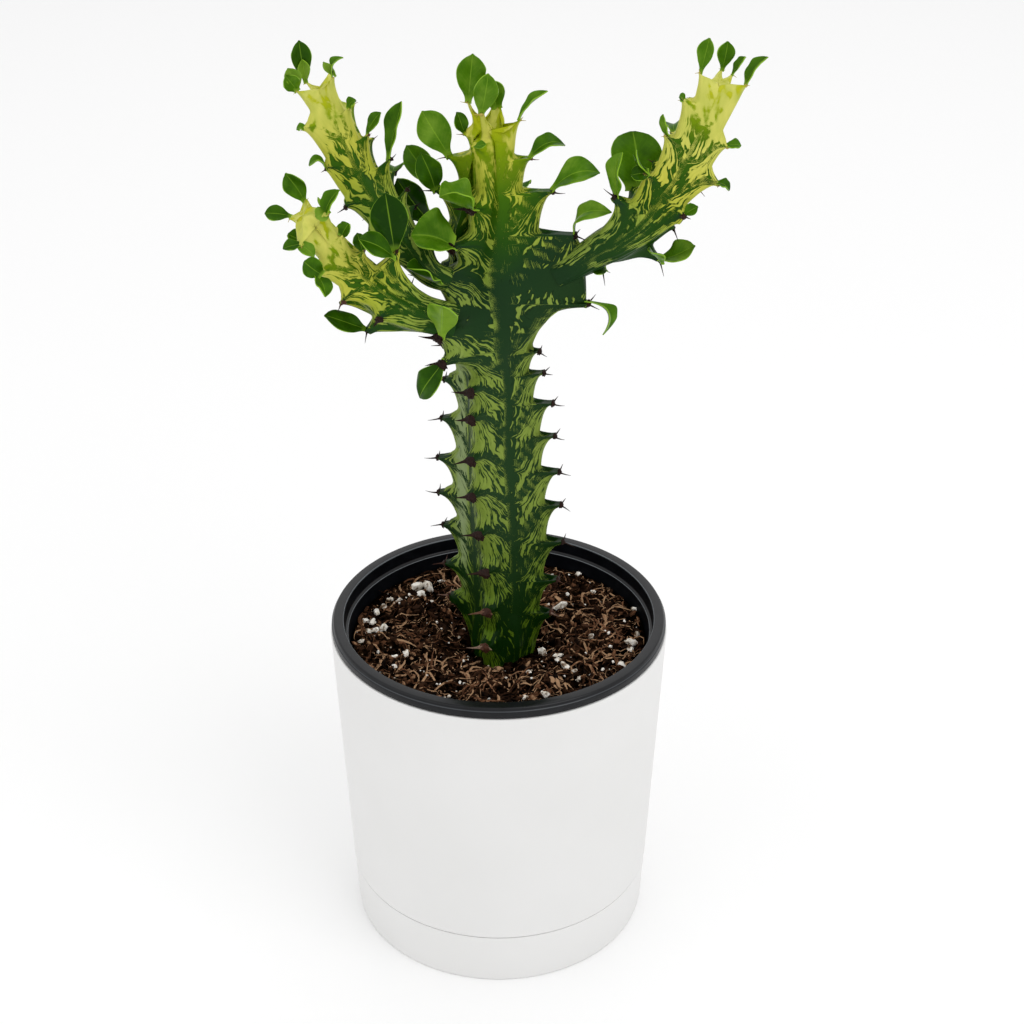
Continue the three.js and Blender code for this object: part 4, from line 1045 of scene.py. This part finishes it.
BARE_TOOTH = ("trunk", "front", 285)
BRANCH_PAD_SIZE = 0.72
dice = random.Random(5)
pads, spines = [], []
for stem_name, stem in STEMS.items():
    size_of_stem = 1.0 if stem_name == "trunk" else BRANCH_PAD_SIZE
    for rib_name, rib in stem["ribs"].items():
        for tooth in rib[1]:
            if (stem_name, rib_name, tooth[0]) == BARE_TOOTH:
                continue
            angle = tooth_angle(rib, tooth)
            axes = tooth_axes(stem, tooth[0], angle)
            young = smooth_step(0.66, 0.98, between(stem["cream"], tooth[0]))
            size = size_of_stem * (1 - 0.72 * young) * (1.25 if rib_name == "front" else 0.82)
            place = swell(stem_point(stem, tooth[0] - 0.5, tooth[1] - 0.1, angle), stem["seed"])
            dry = smooth_step(150, 118, tooth[0]) if stem_name == "trunk" else 0
            pad_shade, spine_shade = (max(greyed * dry, 0.85 * young ** 2) for greyed in (0.24, 0.6))
            pads.append((set_pad(place, axes, size, dice.random()), pad_shade))
            for turn, lift, length in SPINES[stem_name][rib_name]:
                turned_by = math.radians(turn + dice.uniform(-9, 9))
                outward, sideways, _ = axes
                direction = (outward * math.cos(turned_by) + sideways * math.sin(turned_by)
                             + Vector((0, 0, lift + dice.uniform(-0.12, 0.12)))).normalized()
                root = place + sideways * math.sin(turned_by) * 0.9 * size - outward * 0.15
                bend = Vector((0, 0, dice.uniform(-1, 1.4)))
                bend += sideways * dice.uniform(-1, 1) * (0.6 + 1.5 * dry)
                length *= (1 - 0.6 * young) * dice.uniform(0.9, 1.2) * (1.2 if tooth[0] > 235 else 1)
                thick = 0.62 * size ** 0.7 * (1.5 if rib_name == "front" and turn > 0 else 1)
                spines.append((set_spine(root, direction, bend, length, thick), spine_shade))
pad_mesh, spine_mesh = copies(template(ball(3)), pads), copies(template(rod(7, 1)), spines)

horn, tree, shader = new_material("dark_horn", 0.5, 0.12)
link = tree.links.new
scurf = add_grain(tree, shader, 1400, 4, 1800, 0.5)
tint = ramp(tree, [
    (0.08, (0.008, 0.004, 0.003)), (0.3, (0.035, 0.013, 0.008)), (0.5, (0.1, 0.04, 0.022)),
    (0.75, (0.2, 0.13, 0.1)), (1, (0.45, 0.36, 0.08)),
])
link(math_node("MULTIPLY_ADD", scurf, 0.3, attribute(tree, "shade")), tint.inputs["Fac"])
link(tint.outputs["Color"], shader.inputs["Base Color"])
for name, bm in (("tooth_pads", pad_mesh), ("spines", spine_mesh)):
    piece = finish_mesh(name, bm, horn, 32)
    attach(piece, "root")


# Leaves: thick, glossy and spoon-shaped, one above each young tooth. A blade is folded along its midrib and
# has a thin pale margin, and it grows from its tooth on a short stalk.
LEAVES = {  # rib, tooth number, tip from base, width, way it faces, arch, shift aside, fold, curl and tone
    "leaf_trunk_right": ("trunk", [
        ("right", 9, (6, -3, -10), 6.5, (0.8, -0.2, 0.5), 5, 0, 0.8, -0.5, 0.6),
        ("right", 10, (10.5, -8.5, 10.5), 7, (-0.3, -0.4, 0.9), 4.5, 0, 0.5, -1.5, 0.75),
        ("right", 11, (14.5, -2, 6.5), 9, (-0.2, -0.6, 0.75), 3.5, 0, 0.5, -1, 0.62),
        ("right", 12, (11, 2, 3.5), 6, (-0.1, -0.5, 0.85), 3, 0, 0.6, -1, 0.4),
        ("right", 13, (8.5, 2, 8.5), 4, (-0.6, -0.3, 0.7), 1.5, 0, 0.8, 0.5, 0.65),
    ]),
    "leaf_trunk_front": ("trunk", [
        ("front", 8, (-8, 0, -13), 9, (-0.4, -0.9, 0.3), 2, 0, 0.3, 0, 0.2),
        ("front", 9, (1, -12.5, 16), 9.5, (0.3, 0.8, 0.5), 1, -1.3, 0.4, 0, 0.95),
        ("front", 10, (-9.5, -4.5, 7), 10, (0.3, 0.2, 1), 0, -6, 0.5, 0, 0.2),
        ("front", 11, (-12.5, -3, 5), 14, (0.1, -0.55, 0.85), 1, 0, 0.9, 0, 0.65),
        ("front", 12, (-10, -4, 5), 14, (0.5, -0.15, 0.85), 0, 0, 1.0, 0, 0.7),
        ("front", 14, (2.2, -2, 12.8), 7.2, (0, -1, 0.1), 0.5, 0, 0.4, 0, 0.75),
    ]),
    "leaf_trunk_left": ("trunk", [
        ("left", 10, (-12.5, 5.5, 14.5), 10, (-0.5, -0.8, 0.2), 0, 1.5, 0.35, 0, 0.05),
        ("left", 11, (-4, -2, 13), 8, (0.3, -0.9, 0.2), 1, -1.5, 0.4, 0, 0.35),
        ("left", 11, (-10, 7, 11.5), 8, (-0.3, -0.5, 0.8), 2, 2, 0.5, 0, 0.55),
        ("left", 12, (-8, -1, 14.5), 10, (0.3, -0.9, 0.3), 1, 0, 0.3, 1, 0.75),
        ("left", 13, (-2.5, 0, 7), 4.5, (0.2, -0.9, 0.2), 0.5, 0, 0.5, 0, 0.4),
        ("left", 14, (1.5, 0.5, 14.5), 8.6, (0, -1, 0.1), 0, 0.3, 0.4, 0, 0.62),
    ]),
    "leaf_trunk_back": ("trunk", [
        ("back", 10, (4, 12, 2), 10, (0, -0.1, 1), 2.5, 0, 0.5, 0, 0.4),
        ("back", 11, (1, 10, -2), 9, (0, 0, 1), 2, 0, 0.5, 0, 0.4),
        ("back", 12, (-1, 8, -2), 7, (0, 0, 1), 1.5, 0, 0.5, 0, 0.5),
        ("back", 14, (-2.8, -1, 9), 8, (0, -1, 0.1), 0.5, 0, 0.4, 0, 0.65),
    ]),
    "leaf_left_upper": ("branch_left_upper", [
        ("right", 2, (4, 2, 17.5), 6, (-0.7, -0.7, 0.1), 0.5, 0, 1.0, 1, 0.5),
        ("right", 3, (4.5, -1, 7.5), 4.5, (-0.5, -0.6, 0.5), 1, 0, 0.5, 0, 0.5),
        ("right", 5, (3.5, 0, 6.5), 3.5, (-0.6, -0.3, 0.7), 1.5, 0, 0.6, -1, 0.6),
        ("left", 3, (-5, -2, 2), 5, (0, -0.3, 1), 2, 0, 0.6, -1, 0.55),
        ("left", 5, (-3, -2, 5), 5, (0.3, -1, 0), 0.5, 0, 0.6, 0, 0.6),
        ("lower", 5, (-1.5, 0, 13), 6, (0, -1, 0.1), 0.5, 0, 0.5, 0, 0.3),
        ("back", 2, (1, 8, -1), 6, (0, 0.1, 1), 1.5, 0, 0.5, 0, 0.4),
    ]),
    "leaf_left_lower": ("branch_left_lower", [
        ("upper", 0, (-2, -2, 19), 11, (0.1, -1, 0.1), 1, -0.5, 0.35, 0, 0.0),
        ("upper", 0, (-10, -5, 8), 8, (0.5, -0.5, 0.7), 1, 3, 0.4, 0, 0.3),
        ("upper", 2, (2.5, 0, 4), 4.5, (-0.5, -0.8, 0.2), 0.5, 0, 0.5, 0, 0.4),
        ("upper", 3, (4.5, 0, 8), 5, (-0.6, -0.7, 0.3), 1, 0, 0.7, 0, 0.6),
        ("front", 2, (4, -8, -4), 5, (0.5, -0.5, 0.7), 1, 0.8, 0.5, 0, 0.4),
        ("front", 2, (-5, -1, 4.5), 6, (0.3, -0.9, 0.3), 0.5, -1.2, 0.5, 0, 0.4),
        ("front", 3, (-6, -1, -1), 4, (0, -0.5, 0.85), 0.5, 0, 0.5, 0, 0.4),
        ("lower", 0, (-12.5, -4, 6.5), 7, (0, -0.7, 0.7), 1, 0, 0.3, 0, 0.3),
        ("lower", 4, (-8, 0, 1), 5, (0, -0.7, 0.7), 0.5, 0, 0.5, 0, 0.4),
        ("back", 4, (-5, -1, 9), 6, (0.3, -1, 0), 0.5, 0, 0.8, 0, 0.5),
    ]),
    "leaf_right": ("branch_right", [
        ("upper", 0, (1, -2, 14.5), 7, (-0.8, -0.6, 0.1), 1.5, 0, 0.4, -1, 0.75),
        ("upper", 1, (-4, -1, 7.5), 4, (-0.5, -0.2, -0.8), 1, 0, 0.5, 0, 0.6),
        ("upper", 4, (2, 0, 10), 4.5, (-0.3, -0.9, 0.1), 0.5, 0, 0.5, 0, 0.65),
        ("back", 0, (-1, 5, 16.5), 15, (0.1, -1, 0.1), 0.5, 0, 0.3, 0, 0.55),
        ("back", 2, (2, 9, 0), 6, (0, 0.1, 1), 1.5, 0, 0.5, 0, 0.4),
        ("front", 3, (5.5, -1.5, 8.5), 4.5, (-0.6, -0.5, 0.5), 1, 0, 0.6, 0, 0.5),
        ("front", 1, (4, -1, -2), 4, (0.3, -0.3, 0.9), 1, 0, 0.5, 0, 0.4),
        ("lower", 1, (10.5, -3, 5.5), 7, (-0.3, -0.4, 0.85), -1, 0.4, 0.6, 0, 0.7),
        ("lower", 1, (-4, -6, 6), 6, (0.3, 0.2, 0.9), 0.5, 2, 0.5, 0, 0.7),
        ("back", 4, (1.3, 0, 8.5), 5, (0, -1, 0.1), 0.5, 0, 0.5, 0, 0.5),
        ("lower", 6, (3.5, 0, 5.5), 3, (-0.6, -0.4, 0.7), 0.5, 0.3, 0.6, 0, 0.5),
    ]),
}
LEAFLETS = {  # the smallest leaves, in the same order of numbers
    "leaflet_left_upper": ("branch_left_upper", [
        ("right", 4, (2.3, 0, 2.4), 3, (-0.5, -0.6, 0.5), 0.6, 0, 0.5, -0.5, 0.5),
        ("left", 4, (-2.6, -0.3, -0.4), 3, (0, -0.4, 0.9), 0.5, 0, 0.4, 0, 0.5),
        ("left", 5, (-2.1, 1, 6), 4.5, (0.5, -0.8, 0), 0.5, 0, 0.5, 0, 0.6),
        ("lower", 5, (-0.5, -1.5, 6.5), 3, (0.2, -1, 0.2), 0.5, 0, 0.8, 0.5, 0.8),
        ("right", 5, (-3, -1, 4), 2.2, (0, -1, 0.2), 0.3, -1, 0.6, 0, 1),
    ]),
    "leaflet_left_lower": ("branch_left_lower", [
        ("upper", 1, (-1.5, 1, 5), 3.5, (0, -1, 0.1), 0.3, 0, 0.5, 0, 0.15),
        ("front", 3, (4.5, -3, -2.5), 3.5, (0.2, -0.9, 0.3), 0.8, 0.5, 0.5, 0, 0.7),
        ("upper", 3, (-3, -3, -1), 4, (0, -0.9, 0.4), 0.3, -1, 0.3, 0, 0.7),
        ("upper", 3, (-2.4, 0, 4.6), 1.2, (0, -1, 0), 0.2, -0.6, 0.3, 0, 1),
        ("lower", 3, (-4, -2, 3), 4.5, (0, -0.8, 0.5), 0.5, 0, 0.5, 0, 0.35),
    ]),
    "leaflet_right": ("branch_right", [
        ("upper", 1, (-4.5, -1, -0.5), 4, (-0.2, -0.9, 0.4), 0.4, 0, 0.4, 0, 0.15),
        ("upper", 2, (-1.9, 0, 5.6), 2.6, (-0.7, -0.5, 0.3), 0.9, 0, 0.6, 0.5, 0.5),
        ("upper", 3, (-1.5, -0.3, 1.2), 3, (0, -0.5, 0.8), 0.4, 0, 0.3, 0, 0.4),
        ("front", 2, (4.2, 0, 0.2), 3, (0, -0.5, 0.8), 0.5, 0, 0.5, 0, 0.4),
        ("front", 0, (3.6, -1, 2.8), 3.2, (-0.3, -0.7, 0.5), 0.6, 0, 0.8, 0, 0.4),
        ("lower", 0, (-4, -2, 0.3), 4.5, (0, -0.6, 0.8), 0.5, 0, 0.4, 0, 0.15),
    ]),
    "leaflet_trunk": ("trunk", [
        ("front", 13, (3.5, -1.5, 1.5), 2.2, (0, -0.5, 0.8), 0.3, 0, 0.5, 0, 0.6),
    ]),
}
LEAF_OUTLINE = [(0, 0.24), (0.08, 0.25), (0.18, 0.38), (0.32, 0.68), (0.48, 0.92), (0.62, 1), (0.75, 0.93),
                (0.86, 0.7), (0.94, 0.4), (1, 0.02)]
LEAF_THICKNESS = 0.35
LEAFLET_SIZE, LEAFLET_TONE = 1.15, 0.15
LEAF_ROWS, LEAF_COLUMNS = 30, 14
LEAF_MARKS = ("side", "length", "tone")


def smooth_between(table, at):
    """A value read off a table along a smooth curve."""
    i = max(k for k in range(len(table) - 1) if table[k][0] <= at)
    f = (at - table[i][0]) / (table[i + 1][0] - table[i][0])
    b, c = table[i][1], table[i + 1][1]
    a = table[i - 1][1] if i else b
    d = table[i + 2][1] if i + 2 < len(table) else c
    square, cube = (2 * a - 5 * b + 4 * c - d) * f * f / 2, (3 * b - a - 3 * c + d) * f ** 3 / 2
    return b + (c - a) * f / 2 + square + cube


def blade(base, reach, width, face, arch, fold, curl, tone, seed):
    """A leaf blade as a grid drawn to its outline, folded, arched and given its thickness."""
    axis = Vector(reach)
    upper = Vector(face)
    upper = (upper - axis * axis.dot(upper) / axis.length_squared).normalized()
    across_axis = axis.cross(upper).normalized()
    base = base - (axis + upper * 4 * arch).normalized() * 1.1
    bm = bmesh.new()
    layers = {name: bm.verts.layers.float.new(name) for name in LEAF_MARKS}
    bmesh.ops.create_grid(bm, x_segments=LEAF_COLUMNS, y_segments=LEAF_ROWS, size=0.5)
    offset = Vector((seed * 11, seed * 5, seed * 3))
    fullest = 0.85 + 0.35 * seed
    rounder = 1 - 0.45 * smooth_step(0.65, 0.9, width / axis.length)
    twist = 0.9 * noise.noise(offset * 1.7)
    swing = 0.16 * width * noise.noise(offset)
    for vert in bm.verts:
        side, share = vert.co.x * 2, vert.co.y + 0.5
        half = smooth_between(LEAF_OUTLINE, share ** fullest) ** rounder * width / 2
        wave = noise.noise(Vector((side * 0.7, share * 3.2, 0)) + offset)
        gutter = fold * half * (math.sqrt(side * side + 0.02) - 0.14) - 0.12 * half * side ** 4
        lift = 4 * arch * share * (1 - share) + curl * share ** 3 * (share - 1) * 6
        lift += gutter + wave * 0.5 * half * side * side
        turn = twist * (share - 0.2)
        wide = half * side + swing * math.sin(math.pi * share) * 0.6
        vert.co = (base + axis * share + across_axis * (wide * math.cos(turn) - lift * math.sin(turn))
                   + upper * (lift * math.cos(turn) + wide * math.sin(turn)))
        for mark, value in zip(LEAF_MARKS, (side, share, tone)):
            vert[layers[mark]] = value
    bmesh.ops.recalc_face_normals(bm, faces=bm.faces)
    bm.faces.ensure_lookup_table()
    if bm.faces[0].normal.dot(upper) < 0:
        bmesh.ops.reverse_faces(bm, faces=bm.faces)
    bmesh.ops.solidify(bm, geom=bm.faces[:], thickness=LEAF_THICKNESS)
    bmesh.ops.recalc_face_normals(bm, faces=bm.faces)
    return bm


leaf_green, tree, shader = new_material("glossy_leaf", 0.3, 0.06)
link = tree.links.new
mark = {name: attribute(tree, name) for name in LEAF_MARKS}
patches = add_grain(tree, shader, 190, 4, 1200, 0.1)
away = math_node("ABSOLUTE", mark["side"])
midrib = math_node("MULTIPLY_ADD", math_node("SUBTRACT", 0.055, away), 24, 0.0, clamp=True)
margin = math_node("MULTIPLY_ADD", math_node("SUBTRACT", away, 0.955), 22, 0.0, clamp=True)
stalk = math_node("MULTIPLY_ADD", mark["length"], -6, 1.1, clamp=True)
slant = math_node("MULTIPLY_ADD", away, -0.35, mark["length"])
veins = math_node("SINE", math_node("MULTIPLY", slant, 62))
veins = math_node("MULTIPLY_ADD", math_node("SUBTRACT", veins, 0.75), 2.2, 0.0, clamp=True)
mottle = math_node("MULTIPLY_ADD", math_node("SUBTRACT", patches, 0.5), 0.9, mark["tone"])
blade_tint = ramp(tree, [
    (0, (0.009, 0.04, 0.0008)), (0.35, (0.028, 0.09, 0.0015)), (0.65, (0.065, 0.17, 0.004)),
    (1, (0.17, 0.3, 0.025)),
])
link(math_node("MULTIPLY_ADD", veins, 0.09, mottle), blade_tint.inputs["Fac"])
pale_parts = math_node("MAXIMUM", math_node("MULTIPLY", midrib, 0.6), math_node("MAXIMUM", margin, stalk))
link(blend(math_node("MULTIPLY", pale_parts, 0.9), blade_tint.outputs["Color"], (0.24, 0.42, 0.03)),
     shader.inputs["Base Color"])
relief = math_node("SUBTRACT", math_node("MULTIPLY", patches, 0.5), math_node("MULTIPLY", midrib, 1.2))
emboss(relief, 0.35, 0.0004)

dice = random.Random(23)
for group, (stem_name, leaves) in {**LEAVES, **LEAFLETS}.items():
    stem = STEMS[stem_name]
    for number, leaf in enumerate(leaves, 1):
        rib_name, tooth_number, reach, width, face, arch, side, fold, curl, tone = leaf
        rib = stem["ribs"][rib_name]
        tooth = rib[1][tooth_number]
        base = stem_point(stem, tooth[0] + 0.2, tooth[1] - 0.5, tooth_angle(rib, tooth), side)
        if group in LEAFLETS:
            reach, width, tone = Vector(reach) * LEAFLET_SIZE, width * LEAFLET_SIZE, tone + LEAFLET_TONE
        bm = blade(swell(base, stem["seed"]), reach, width, face, arch, fold, curl, tone, dice.random())
        piece = finish_mesh(f"green_{group}_{number}", bm, leaf_green, 60)
        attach(piece, "root")
        if group in LEAVES:
            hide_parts(f"{group}_{number}")
